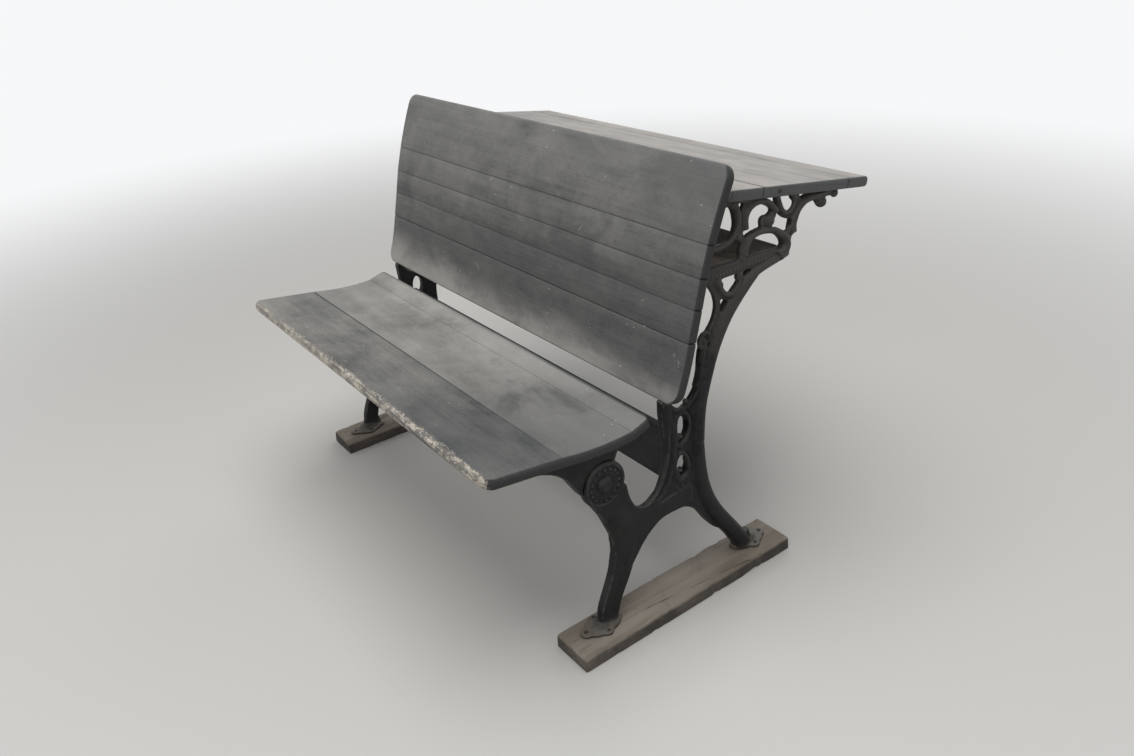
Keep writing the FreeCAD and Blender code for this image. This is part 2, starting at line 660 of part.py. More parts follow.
def pivot_nut():
    """Square nut that keeps the seat arm on its bolt."""
    half = NUT_WIDTH / 2
    nut = box((nut_face() - NUT_THICKNESS, nut_face()), (PIVOT.y - half, PIVOT.y + half),
              (PIVOT.z - half, PIVOT.z + half))
    return nut.cut(pivot_bore())


def length_board(edges, length):
    return raise_outline(edges, -length / 2, length / 2)


def rounded(shape, points, radius):
    """Fillet the straight edges whose middles lie at the given points."""
    chosen = []
    for point in points:
        chosen.append(min(shape.Edges, key=lambda edge: edge.CenterOfMass.sub(point).Length))
    return shape.makeFillet(radius, chosen)


def back_board(board):
    plank = length_board(BACK.board(board, BACK_THICKNESS, BOARD_GAP), BACK_LENGTH)
    end = {0: 0, len(BACK_NAMES) - 1: 1}.get(board)
    if end is not None:
        corner = BACK.point(board, end, BACK_THICKNESS / 2)
        ends = [at(corner.y, corner.z, side * BACK_LENGTH / 2) for side in (-1, 1)]
        plank = rounded(plank, ends, BACK_CORNER_RADIUS)
    return plank


def seat_board(board):
    plank = length_board(SEAT.board(board, SEAT_THICKNESS, BOARD_GAP), SEAT_LENGTH)
    if board == 0:
        plank = rounded(plank, [SEAT.point(0, 0, 0), SEAT.point(0, 0, SEAT_THICKNESS)], SEAT_NOSE_RADIUS)
    return plank.common(seat_plan())


def seat_plan():
    """Upright block with the seat's outline from above, round at its corners."""
    front = length_board(SEAT.board(0, SEAT_THICKNESS, BOARD_GAP), SEAT_LENGTH).BoundBox
    rear = length_board(SEAT.board(len(SEAT_NAMES) - 1, SEAT_THICKNESS, BOARD_GAP), SEAT_LENGTH).BoundBox
    block = box((-SEAT_LENGTH / 2, SEAT_LENGTH / 2), (front.YMin, rear.YMax), (0, PIVOT_HEIGHT * 2))
    for y, radius in ((front.YMin, SEAT_FRONT_CORNER), (rear.YMax, SEAT_REAR_CORNER)):
        ends = [at(y, PIVOT_HEIGHT, side * SEAT_LENGTH / 2) for side in (-1, 1)]
        block = rounded(block, ends, radius)
    return block


def top_board(start, end):
    corners = [top_at(start, 0), top_at(end, 0), top_at(end, TOP_THICKNESS), top_at(start, TOP_THICKNESS)]
    return length_board(polygon(corners), TOP_LENGTH)


def tongue(clearance):
    """Tongue on the lid's main board, or the groove for it where a clearance is given."""
    start = LID_DEPTH - LID_EDGE_BOARD
    half = TONGUE_THICKNESS / 2 + clearance
    middle = TOP_THICKNESS / 2
    tip = start + TONGUE_DEPTH + clearance
    corners = [top_at(start - BOARD_GAP, middle - half), top_at(tip, middle - half),
               top_at(tip, middle + half), top_at(start - BOARD_GAP, middle + half)]
    return length_board(polygon(corners), TOP_LENGTH)


def along_seam(radius, x_from, x_to):
    """Round bar on the lid's hinge line."""
    return Part.makeCylinder(radius, x_to - x_from, at(SEAM.y, SEAM.z, x_from), at(0, 0, 1))


def hinge_lets_in(side):
    """Recesses for the hinge leaves and the round grooves for their knuckles."""
    cuts = []
    for x in (-HINGE_SPREAD / 2, HINGE_SPREAD / 2):
        half = HINGE_LENGTH / 2 + LEAF_CLEARANCE
        reach = side * (LEAF_WIDTH + LEAF_CLEARANCE)
        corners = [top_at(0, LEAF_THICKNESS), top_at(reach, LEAF_THICKNESS)]
        corners += [top_at(reach, -OVERRUN), top_at(0, -OVERRUN)]
        cuts.append(raise_outline(polygon(corners), x - half, x + half))
        cuts.append(along_seam(KNUCKLE_RADIUS + GROOVE_CLEARANCE, x - half, x + half))
    return cuts


def desk_strip():
    return top_board(-STRIP_WIDTH, -LID_SEAM_GAP / 2).cut(hinge_lets_in(-1))


def lid_main_board():
    end = LID_DEPTH - LID_EDGE_BOARD - BOARD_GAP / 2
    return top_board(LID_SEAM_GAP / 2, end).fuse(tongue(0)).cut(hinge_lets_in(1)).removeSplitter()


def lid_edge_board():
    plank = top_board(LID_DEPTH - LID_EDGE_BOARD + BOARD_GAP / 2, LID_DEPTH).cut(tongue(SEAT_GAP))
    return rounded(plank, [top_at(LID_DEPTH, 0), top_at(LID_DEPTH, TOP_THICKNESS)], LID_CORNER_RADIUS)


def hinge_leaf(side, start, own_span, other_span):
    reach = side * LEAF_WIDTH
    clear = side * LID_SEAM_GAP / 2
    room = side * (KNUCKLE_RADIUS + GROOVE_CLEARANCE)
    corners = [top_at(clear, LEAF_THICKNESS), top_at(reach, LEAF_THICKNESS)]
    corners += [top_at(reach, 0), top_at(clear, 0)]
    notch = [top_at(0, OVERRUN), top_at(room, OVERRUN), top_at(room, -OVERRUN), top_at(0, -OVERRUN)]
    own_low, own_high = [start + place for place in own_span]
    other_low, other_high = [start + place for place in other_span]
    leaf = raise_outline(polygon(corners), start, start + HINGE_LENGTH)
    leaf = leaf.cut(raise_outline(polygon(notch), other_low - KNUCKLE_GAP, other_high + KNUCKLE_GAP))
    leaf = leaf.fuse(along_seam(KNUCKLE_RADIUS, own_low + KNUCKLE_GAP, own_high - KNUCKLE_GAP))
    bore = along_seam(PIN_RADIUS + RUNNING_CLEARANCE, start - OVERRUN, start + HINGE_LENGTH + OVERRUN)
    return leaf.cut(bore).removeSplitter()


def hinge_starts():
    return [middle - HINGE_LENGTH / 2 for middle in (-HINGE_SPREAD / 2, HINGE_SPREAD / 2)]


def hinge_leaves():
    """Let-in loose-joint leaves: one knuckle on the strip side and one on the lid side."""
    first = (0, HINGE_LENGTH / 2)
    second = (HINGE_LENGTH / 2, HINGE_LENGTH)
    strip_side = [hinge_leaf(-1, start, first, second) for start in hinge_starts()]
    lid_side = [hinge_leaf(1, start, second, first) for start in hinge_starts()]
    return Part.makeCompound(strip_side), Part.makeCompound(lid_side)


def hinge_pins():
    pins = [along_seam(PIN_RADIUS, start, start + HINGE_LENGTH) for start in hinge_starts()]
    return Part.makeCompound(pins)


def shelf_board():
    start, end = shelf_span()
    reach = WEB_INNER - SHELF_END_GAP
    corners = [at(start, ledge_top(start) - SHELF_THICKNESS), at(end, ledge_top(end) - SHELF_THICKNESS),
               at(end, ledge_top(end)), at(start, ledge_top(start))]
    return length_board(polygon(corners), reach * 2)


def stretcher_board():
    reach = WEB_INNER - SHELF_END_GAP
    plank = box((-reach, reach), (STRETCHER_REACH, STRETCHER_REACH + STRETCHER_THICKNESS),
                (STRETCHER_BOTTOM, STRETCHER_BOTTOM + STRETCHER_DEPTH))
    return plank


def skid():
    middle = STANDARD_SPACING / 2 + SKID_OUTSET
    plank = box((middle - SKID_WIDTH / 2, middle + SKID_WIDTH / 2),
                (-SKID_FRONT_REACH, SKID_LENGTH - SKID_FRONT_REACH), (0, SKID_HEIGHT))
    top_edges = [edge for edge in plank.Edges if edge.BoundBox.ZMin > SKID_HEIGHT / 2]
    return plank.makeChamfer(SKID_CHAMFER, top_edges)


# Depth of the middle of the whole bench, from the seat's nose to the lid's rear edge
BENCH_MIDDLE = (seat_board(0).BoundBox.YMin + lid_edge_board().BoundBox.YMax) / 2


def save(name, shape):
    shape.translate(at(-BENCH_MIDDLE, 0))
    shape.exportStep("parts/" + name + ".step")


def save_pair(name, shape):
    save("right_" + name, shape.copy())
    save("left_" + name, mirrored(shape))


os.makedirs("parts", exist_ok=True)
save_pair("standard", standard())
save_pair("seat_arm", seat_arm())
save_pair("skid", skid())
save("pivot_bolts", Part.makeCompound(pair(pivot_bolt())))
save("pivot_nuts", Part.makeCompound(pair(pivot_nut())))
for number, name in enumerate(BACK_NAMES):
    save("back_" + name + "_board", back_board(number))
for number, name in enumerate(SEAT_NAMES):
    save("seat_" + name + "_board", seat_board(number))
save("desk_strip", desk_strip())
save("lid_main_board", lid_main_board())
save("lid_edge_board", lid_edge_board())
strip_leaves, lid_leaves = hinge_leaves()
save("strip_hinge_leaves", strip_leaves)
save("lid_hinge_leaves", lid_leaves)
save("hinge_pins", hinge_pins())
save("shelf_board", shelf_board())
save("stretcher_board", stretcher_board())
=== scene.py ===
import json
import math

import bmesh
import bpy
from mathutils import Matrix, Vector, noise


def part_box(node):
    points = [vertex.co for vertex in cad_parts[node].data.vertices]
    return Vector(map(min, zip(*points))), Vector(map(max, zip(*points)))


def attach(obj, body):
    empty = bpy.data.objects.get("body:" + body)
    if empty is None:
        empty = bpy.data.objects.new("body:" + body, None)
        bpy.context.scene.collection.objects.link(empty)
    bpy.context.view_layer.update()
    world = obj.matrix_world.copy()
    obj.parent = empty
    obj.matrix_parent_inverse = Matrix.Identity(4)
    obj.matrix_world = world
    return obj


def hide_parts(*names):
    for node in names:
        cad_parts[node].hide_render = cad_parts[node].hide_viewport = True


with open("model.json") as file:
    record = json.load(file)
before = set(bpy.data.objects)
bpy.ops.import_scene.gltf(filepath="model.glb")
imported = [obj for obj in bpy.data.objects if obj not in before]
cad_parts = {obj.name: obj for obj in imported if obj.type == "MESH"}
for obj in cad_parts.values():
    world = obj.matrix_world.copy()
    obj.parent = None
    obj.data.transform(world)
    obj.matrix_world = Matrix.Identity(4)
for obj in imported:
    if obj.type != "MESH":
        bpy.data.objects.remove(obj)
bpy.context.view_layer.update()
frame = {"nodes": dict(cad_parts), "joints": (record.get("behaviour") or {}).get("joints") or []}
NODES = frame["nodes"]
MM = 0.001

# Camera, fitted to the straight board edges in the photograph
PHOTO_WIDTH_PX = 1134
FOCAL_PX = 900.5
SENSOR_WIDTH_MM = 36.0
CAMERA_AZIMUTH = math.radians(54.59)
CAMERA_ELEVATION = math.radians(27.43)
CAMERA_ROLL = math.radians(-3.77)
CAMERA_PLACE = Vector((1.521, -0.9994, 1.227))

# Floor and light: each lamp has a place, a size and a power
FLOOR_HALF = 30.0
FLOOR_ROUGHNESS = 0.85
FLOOR_COLOUR = (0.60, 0.585, 0.555, 1.0)
FLOOR_FADE = (0.9, 4.2)
FLOOR_FADE_MIDDLE = (-0.45, 0.35, 0.0)
WORLD_COLOUR = (0.95, 0.97, 1.0, 1.0)
WORLD_STRENGTH = 0.32
BACKDROP_COLOUR = (0.93, 0.935, 0.945, 1.0)
BACKDROP_STRENGTH = 1.0
LAMPS = (
    ("overhead_lamp", Vector((0.3, -0.5, 3.4)), 3.0, 78),
    ("front_lamp", Vector((2.2, -2.8, 2.4)), 1.8, 24),
    ("rear_lamp", Vector((-1.6, 2.8, 2.4)), 2.0, 20),
)
LAMP_AIM = Vector((0.0, 0.0, 0.4))

# Limits for the work on copied meshes
WELD = 0.01 * MM
SLIVER = 0.02 * MM
FLAT_ANGLE = math.radians(1.0)
SHARP_ANGLE = math.radians(35)
SMOOTH_ANGLE = math.radians(38)
STRAIGHT_ANGLE = math.radians(145)
CORNER_REACH_SHARE = 0.45
END_EDGE_SHARE = 0.9
NORMAL_DIGITS = 2
SIDEWAYS_LIMIT = 0.1

# Boards
OUTER_ROUNDING = 3.2 * MM
BACK_ROUNDING = 5.0 * MM
SEAT_ROUNDING = 8.0 * MM
SEAM_ROUNDING = 0.5 * MM
SKID_ROUNDING = 3.0 * MM
OUTER_SEGMENTS = 5
SEAM_SEGMENTS = 3
ROUND_PROFILE = 0.5
SEAT_GAP = 3.5 * MM
SEAT_CORNERS = {"low": 28 * MM, "high": 18 * MM}
SEAT_FLAT_MARGIN = 2 * MM
CORNER_ZONE = 45 * MM
END_STEPS = 9
SKID_STEPS = 90
SKID_LONG = 0.3
CHIP_FINENESS = 34
CHIP_NOISE = (0.8, 2.0, 4)
CHIP_DEPTH = 3.4 * MM
BACK_BOARDS = ("back_bottom_board", "back_lower_board", "back_middle_board", "back_upper_board",
               "back_top_board")
SEAT_BOARDS = ("seat_front_board", "seat_middle_board", "seat_rear_board")
TOP_BOARDS = (("desk_strip", "frame"), ("lid_main_board", "lid"), ("lid_edge_board", "lid"))
# The free side of each board that has one
FREE_SIDES = {
    "back_bottom_board": "low", "back_top_board": "high", "seat_front_board": "low",
    "seat_rear_board": "high", "desk_strip": "low", "lid_edge_board": "high",
}

# Castings: places are in mm behind and above the seat pivot, radii in mm
PIVOT = Vector(frame["joints"][0]["pos_m"])
CAST_VOXEL = 2.08 * MM
ARM_VOXEL = 1.5 * MM
CAST_SMOOTHING = 5
CAST_SOFTNESS = 0.5
STANDARD_MIDDLE = 493 * MM
WEB_FACE = 500 * MM
PLATE_FACE = 502 * MM
BULB_FACE = 496 * MM
PELLET_FACE = 501 * MM
BAR_ROUNDNESS = 3
BAR_STEPS = 6
BAR_ORDER = 3
BULB_FINENESS = 3
# Feet: lobes of the plate as places across and along with a radius, and the screws in it
FOOT_TOP = 39.3 * MM
SKID_TOP = 32 * MM
FOOT_REACHES = (-20, 375)
FOOT_LOBES = ((0, -33, 14), (0, 33, 14), (-17, 0, 15), (17, 0, 15), (0, -12, 24), (0, 12, 24))
FOOT_LOBE_TAPER = 1
FOOT_THICKNESS = 6.5 * MM
FOOT_SCREWS = ((0, -35), (0, 36), (22, 1), (-22, 1))
CONE_SEGMENTS = 40
# Ankles: each flare's place behind the pivot, height above the plate's middle, depth, low and high radius
ANKLES = (
    ((-12, 6, 12, 38, 25), (-5, 22, 28, 25, 17)),
    ((362, 6, 12, 34, 24), (356, 20, 24, 24, 18)),
)
ANKLE_MIDDLE = 495 * MM
ANKLE_FLATNESS = 0.58
# Beads: places along each round bar, and its radius at the start and the end
BEADS = (
    (((140, 108), (160, 50), (163, 20), (162, -3), (156, -30), (150, -55), (136, -80), (113, -96),
      (86, -99)), 6.0, 4.0),
    (((137, 104), (147, 74), (149, 36), (147, -5), (139, -40), (125, -70), (104, -88), (84, -92),
      (62, -76)), 5.0, 3.5),
    (((142, 112), (157, 89), (180, 78), (206, 87), (225, 108), (231, 150), (237, 189)), 4.5, 5.0),
    (((166, 24), (163, 50), (168, 72), (182, 79), (197, 62), (202, 36), (190, 10), (175, 4)), 5.0, 5.0),
    (((165, -58), (161, -36), (167, -14), (181, -8), (195, -25), (200, -50), (189, -70), (174, -68)),
     5.0, 5.0),
    (((174, 5), (167, 14), (171, 26), (180, 24)), 4.8, 3.8),
    (((174, -68), (166, -58), (170, -46), (180, -49)), 4.8, 3.8),
    (((182, -104), (172, -94), (166, -80)), 5.0, 3.0),
    (((182, -104), (183, -92), (182, -80)), 5.0, 3.0),
    (((182, -104), (193, -95), (199, -82)), 5.0, 3.0),
    (((333, 338), (339, 354), (356, 363), (383, 364), (410, 357)), 5.0, 6.0),
    (((404, 359), (428, 346), (441, 330), (438, 314), (420, 306)), 6.0, 11.5),
    (((478, 392), (466, 380), (457, 364), (451, 348)), 5.0, 7.5),
    (((457, 362), (448, 353), (440, 345)), 3.6, 4.8),
    (((458, 361), (453, 349), (451, 338)), 3.6, 4.8),
    (((460, 362), (460, 351), (461, 341)), 3.6, 4.8),
    (((323, 300), (322, 284), (311, 270), (292, 266), (275, 279), (268, 296)), 4.8, 5.4),
    (((254, 360), (284, 359), (308, 374), (316, 405), (303, 428)), 4.5, 5.8),
    (((334, 376), (328, 396), (340, 415), (364, 421), (391, 412), (408, 391)), 5.0, 6.5),
    (((411, 418), (418, 398), (430, 383), (446, 382), (457, 396), (454, 412)), 4.4, 4.8),
    (((463, 374), (475, 390), (501, 397), (538, 394)), 5.0, 7.0),
    (((252, 188), (250, 204), (240, 213), (227, 210), (221, 197), (227, 186), (237, 187), (240, 196)),
     4.6, 4.2),
)
# Swells of legs and strut: places, a radius at each, and how flat they are pressed
SWELLS = (
    (((14, -58), (24, -84), (36, -114), (44, -165), (30, -215), (9, -262), (0, -305)),
     (16, 26, 30, 24, 20, 16, 15), 0.24),
    (((38, -110), (90, -116), (150, -112), (205, -110)), (26, 20, 18, 24), 0.22),
    (((221, 0), (222, 60), (236, 115), (260, 185), (305, 250), (360, 290)), (14, 13, 13, 12, 10, 8), 0.75),
    (((357, -307), (308, -235), (266, -177), (239, -120), (225, -55), (221, 0)),
     (18, 17, 16, 15, 14, 14), 0.62),
)
# Bulbs at the ends of the scrolls: place and radius
BULBS = (
    (233, 198, 8), (268, 296, 9), (275, 290, 7), (322, 292, 8.5), (300, 427, 8.5), (308, 433, 6.5),
    (317, 366, 8), (332, 334, 9), (326, 326, 7), (392, 378, 12), (399, 386, 9), (534, 380, 11),
    (524, 386, 8), (571, 388, 8), (412, 414, 7), (455, 408, 7.5), (180, 24, 5.5), (180, -48, 5.5),
    (186, -4, 7), (194, 90, 6), (151, 104, 6), (438, 316, 12), (440, 345, 5), (451, 338, 5),
    (461, 341, 5),
)
# Pellets on the shelf ledge, and pellets and a ring round the pivot head: the bead's radius comes last
LEDGE_PELLETS = ((226, 311), (428, 309), 24, 3.1)
HEAD_PELLETS = (31, 16, 3.0)
HEAD_RING = (24.3, 2.4)
HEAD_RING_POINTS = 12
# Cheek of a seat arm: radius and angles of the arc that clears the pivot head, then the other corners
CHEEK_ARC = (46.8, 58, 188)
CHEEK_ARC_POINTS = 28
CHEEK_OUTLINE = (
    (-56, 9), (-67, 27), (-77, 42), (-91, 56), (-108, 67), (-126, 75), (-146, 81), (-108, 77), (-78, 72),
    (-55, 68.5), (-32, 66), (-8, 64), (15, 63), (33, 62.5),
)
CHEEK_FACES = (472 * MM, 499 * MM)

# Screws: slots are turned by angles in radians
SCREW_RADIUS = 4.6 * MM
SCREW_RISE = 2.4 * MM
SCREW_SINK = 0.4 * MM
SCREW_SEGMENTS = 20
SCREW_RINGS = 10
SLOT_SHARE = 0.17
SLOT_DEPTH_SHARE = 0.5
FOOT_SLOT_STEP = 0.7
HINGE_SLOT_STEP = 0.9
LID_END_SLOT = 0.5
HINGE_MIDDLE = 300 * MM
HINGE_SCREWS = (-24 * MM, 0.0, 24 * MM)
STRIP_SCREW_REACH = 22 * MM
LID_SCREW_REACH = -102 * MM
LID_END_SCREW = (196.6 * MM, 776 * MM)

# Paint, wood and iron colours
CHARCOAL = (0.070, 0.071, 0.072, 1.0)
CHARCOAL_DEEP = (0.026, 0.0265, 0.028, 1.0)
# Painted shade for the end faces of boards
END_SHADE_DARK = (0.028, 0.0285, 0.028, 1.0)
INK_DARK = (0.050, 0.053, 0.058, 1.0)
DUST_OLIVE = (0.270, 0.262, 0.240, 1.0)
DUST_BROWN = (0.440, 0.415, 0.385, 1.0)
DUST_GREY = (0.330, 0.325, 0.310, 1.0)
SEAT_DUST = (0.340, 0.330, 0.300, 1.0)
SEAT_PALE = (0.440, 0.428, 0.400, 1.0)
BARE_TAN = (0.50, 0.405, 0.290, 1.0)
BARE_PALE = (0.590, 0.535, 0.450, 1.0)
BARE_GREY = (0.30, 0.265, 0.22, 1.0)
SPECK_PALE = (0.66, 0.64, 0.60, 1.0)
TOP_GREY = (0.200, 0.190, 0.176, 1.0)
TOP_PALE = (0.380, 0.355, 0.325, 1.0)
TOP_END_SHADE = (0.088, 0.089, 0.091, 1.0)
STRETCHER_BLACK = (0.014, 0.014, 0.015, 1.0)
IRON_BLACK = (0.0035, 0.0037, 0.0042, 1.0)
IRON_GREY = (0.0155, 0.0163, 0.017, 1.0)
IRON_RUST = (0.034, 0.021, 0.013, 1.0)
IRON_EDGE_WEAR_AND_HIGHLIGHT = (0.120, 0.117, 0.110, 1.0)
# Colour of real dust on top faces, and also of the painted light over the upper castings
IRON_DUST_AND_LIGHT = (0.085, 0.080, 0.072, 1.0)
FOOT_DUST = (0.150, 0.133, 0.110, 1.0)
SKID_BROWN = (0.185, 0.153, 0.120, 1.0)
SKID_GREY = (0.290, 0.255, 0.212, 1.0)
SKID_DARK = (0.036, 0.030, 0.025, 1.0)
SHELF_BROWN = (0.190, 0.160, 0.128, 1.0)
SHELF_PALE = (0.300, 0.262, 0.218, 1.0)

# Noise recipes hold a stretch where they have one, scale, detail, roughness and any distortion.
# Bands hold the noise values where an effect starts and is full, then its least and greatest share.

# Painted boards
PAINT_SPECULAR = 0.3
PAINT_SHIFT = (1.7, 0.9, 0.4)
PAINT_GRAIN = ((6, 130, 130), 1.0, 7.0, 0.64, 0.35)
PAINT_STREAK = ((2.2, 46, 46), 1.0, 3.0, 0.5)
PAINT_PATCH = ((2.8, 3.4, 3.4), 1.0, 7.0, 0.60, 0.5)
PAINT_MOTTLE = ((14, 18, 18), 1.0, 7.0, 0.68, 0.4)
PAINT_STAIN = ((4.4, 6.4, 6.4), 1.0, 7.0, 0.64, 0.5)
PAINT_STAIN_SHIFT = (4.0, 1.0, 2.0)
PAINT_SPECKLE = (310.0, 3.0, 0.7)
PAINT_TOOTH = (260.0, 4.0, 0.6)
FACE_BAND = (0.60, 0.14)
GRAIN_BAND = (0.30, 0.70)
PATCH_BAND = (0.33, 0.67)
DUST_BANDS = ((0.28, 0.72, -0.12, 0.12), (0.30, 0.70, -0.06, 0.06), (0.30, 0.70, -0.11, 0.11))
BORDER_BAND = (0.25, 0.75)
FINE_BORDER_SHARE = 0.3
STAIN_BAND = (0.53, 0.72)
SCRATCH_STRETCH = (5, 9, 9)
SCRATCH_BREAKS = (22.0, 4.0, 0.6, 1.2)
SCRATCH_BREAK_BAND = (0.61, 0.66)
SCRATCH_WIDTH_BAND = (0.012, 0.004)
SCRATCH_SHARE = 0.7
FLECK_STRETCH = (0.7, 1, 1)
FLECK_FINENESS = 64.0
FLECK_SIZE_BAND = (0.080, 0.05)
FLECK_PLACE_BAND = (0.52, 0.57)
SEAM_FADE = 3
SEAM_STREAK_BAND = (0.34, 0.62, 0.45, 1.0)
# Share of the painted shade on end faces
END_SHADE_SHARE = 0.85
BARE_GRAIN_BAND = (0.42, 0.72)
PAINT_SHEEN_BAND = (0.3, 0.75, 0.55, 0.78)
# Reliefs hold a depth and a strength
GRAIN_RELIEF = (0.8 * MM, 0.45)
TOOTH_RELIEF = (0.3 * MM, 0.35)
RUB_RELIEF = (0.9 * MM, 0.8)

# Rubbed edges: a ragged border of coarse and fine noise, and remnants of paint inside it
RUB_COARSE = ((1, 2, 2), 26.0, 5.0, 0.6)
RUB_COARSE_SHARE = 0.42
RUB_FINE = (290.0, 4.0, 0.66)
RUB_FINE_SHARE = 0.58
RUB_FADE = 0.09
RUB_MOST = 0.92
REMNANTS = ((0.6, 1, 1), 88.0, 6.0, 0.70, 0.6)
REMNANT_BAND = (0.44, 0.54, 0.22, 1.0)
# Wear of a free side: how far it reaches in, and the noise value where it starts
BACK_WEAR = (14 * MM, 0.545)
SEAT_WEAR = (60 * MM, 0.33)
TOP_WEAR = (16 * MM, 0.57)

# Dark or dusty zones: slope, where each starts and is full, colour, greatest share, border's stray
BACK_ZONES = (
    ((-0.08, 0, 1), 0.60, 0.84, DUST_GREY, 0.24, 0.06),
    ((-0.12, 0, 1), 0.745, 0.60, INK_DARK, 0.42, 0.06),
    ((0.05, 0, 1), 0.535, 0.445, DUST_BROWN, 0.72, 0.022),
    ((0.20, 0, 1), 0.79, 0.94, INK_DARK, 0.52, 0.09),
)
SEAT_ZONES = (
    ((0.20, 1, 0), -0.27, -0.13, SEAT_PALE, 0.42, 0.05),
    ((1, -0.5, 0), 0.02, 0.58, INK_DARK, 0.52, 0.09),
    ((1, 0, 0), -0.34, -0.54, DUST_OLIVE, 0.25, 0.09),
)
# Seams: width, greatest share, colour, and the stretch along the board where the seam comes in. On the seat
# two entries are painted light: a pale painted highlight on the middle board's front edge, and painted
# shade along the rear board's free rear edge.
ALL_ALONG = (-2.0, -1.0)
FRONT_SEAM = (0.43, 0.28)
REAR_SEAM = (-0.10, 0.33)
BACK_SEAM = (1.2 * MM, 0.55, CHARCOAL_DEEP, ALL_ALONG)
TOP_SEAM = (2.4 * MM, 0.95, CHARCOAL_DEEP, ALL_ALONG)
SEAT_SEAMS_AND_EDGE_LIGHT = (
    {"high": (6.5 * MM, 0.97, CHARCOAL_DEEP, FRONT_SEAM)},
    # Middle board: its low side carries a pale painted highlight on the edge at the front seam
    {"low": (3.2 * MM, 0.75, DUST_GREY, FRONT_SEAM), "high": (3.0 * MM, 0.95, CHARCOAL_DEEP, REAR_SEAM)},
    # Rear board: its high side is the free rear edge, darkened in a wide band of painted shade and painted
    # shadow where it rolls down beside the gap
    {"low": (3.0 * MM, 0.95, CHARCOAL_DEEP, REAR_SEAM), "high": (9.0 * MM, 0.92, CHARCOAL_DEEP, ALL_ALONG)},
)
# Coats of paint: colours, of which the one for the ends is painted shade, least and greatest veil of dust,
# and shares of stains and flecks
BACK_COAT = {
    "paint": CHARCOAL, "deep": CHARCOAL_DEEP, "dust": DUST_OLIVE, "bare": BARE_TAN, "ends": END_SHADE_DARK,
    "veil": (0.24, 0.48), "stained": 0.28, "flecked": 0.7, "zones": BACK_ZONES,
}
SEAT_COAT = dict(BACK_COAT, dust=SEAT_DUST, bare=BARE_PALE, stained=0.5, zones=SEAT_ZONES)
SEAT_VEILS = ((0.16, 0.58), (0.42, 0.92), (0.36, 0.85))
TOP_COAT = dict(SEAT_COAT, paint=TOP_GREY, deep=CHARCOAL, dust=TOP_PALE, bare=BARE_TAN, ends=TOP_END_SHADE,
                veil=(0.30, 0.95), zones=())
STRETCHER_COAT = dict(TOP_COAT, paint=STRETCHER_BLACK, deep=IRON_BLACK, dust=CHARCOAL, bare=BARE_GREY,
                      ends=STRETCHER_BLACK, veil=(0.0, 0.25), flecked=0.0)
# Seeds set each board's grain apart from the others
BACK_SEED = 1.0
STRETCHER_SEED = 7.0
SEAT_SEED = 9.0
TOP_SEED = 15.0
SKID_SEED = 3.0
SHELF_SEED = 6.0

# Bare planks: runs hold the stretch along and across the grain
PLANK_ROUGHNESS = 0.82
PLANK_SHIFT = (1.3, 0.7, 0.3)
PLANK_GRAIN_RUN = (4.5, 95.0)
PLANK_GRAIN = (1.0, 8.0, 0.66, 0.6)
PLANK_BANDS_RUN = (1.6, 16.0)
PLANK_BANDS = (1.0, 4.0, 0.55, 0.8)
PLANK_GRIME = (11.0, 6.0, 0.66, 0.6)
PLANK_TOOTH = (180.0, 4.0, 0.6)
PLANK_PALE_BAND = (0.34, 0.68)
PLANK_GRAIN_BAND = (0.52, 0.74, 0.0, 0.5)
PLANK_GRIME_BAND = (0.50, 0.76, 0.0, 0.5)
# Painted shade on a plank's sides: how far below its top it starts and is full, and its band of grime noise
PLANK_SIDE_SHADE_START = 2 * MM
PLANK_SIDE_SHADE_FULL = 9 * MM
PLANK_SIDE_SHADE_BAND = (0.3, 0.6, 0.6, 0.95)
CRACK_RUN = (1.12, 11.2)
CRACK_DRIFT = (1.0, 1.5, 0.4)
CRACK_LEVEL = 0.56
CRACK_WIDTH_BAND = (0.006, 0.002, 0.0, 0.8)
CRACK_PLACE_BAND = (0.44, 0.56)
SPLINTER_FINENESS = 110.0
SPLINTER_SIZE_BAND = (0.08, 0.05)
SPLINTER_PLACE_BAND = (0.52, 0.64)
PLANK_RELIEF = (2.2 * MM, 0.8)
PLANK_TOOTH_RELIEF = (0.6 * MM, 0.4)

# Cast iron: seed, and shares of rust, dust, rubbed ridges that also carry a painted highlight, and trodden
# dirt
CASTING_FINISH = (0.0, 0.35, 0.6, 0.75, 0.85)
HARDWARE_FINISH = (2.0, 0.75, 0.2, 0.12, 0.15)
IRON_SPECULAR = 0.2
IRON_SHIFT = (1.1, 0.6, 0.8)
IRON_MOTTLE = (26.0, 6.0, 0.62, 0.4)
IRON_SAND = (420.0, 3.0, 0.6)
IRON_PITS = (130.0, 4.0, 0.62)
RUST_SPOTS = (17.0, 7.0, 0.68, 0.5)
RUST_SHIFT = (3.1, 1.2, 0.4)
IRON_GREY_BAND = (0.34, 0.68)
# Painted light: the upper and rear parts of the castings are lightened, as if lit more strongly
PAINTED_LIGHT_SLOPE = (0, 0.3, 1)
PAINTED_LIGHT_BAND = (0.42, 0.66, 0.0, 0.5)
PAINTED_LIGHT_BORDER_BAND = (0.3, 0.7, -0.06, 0.06)
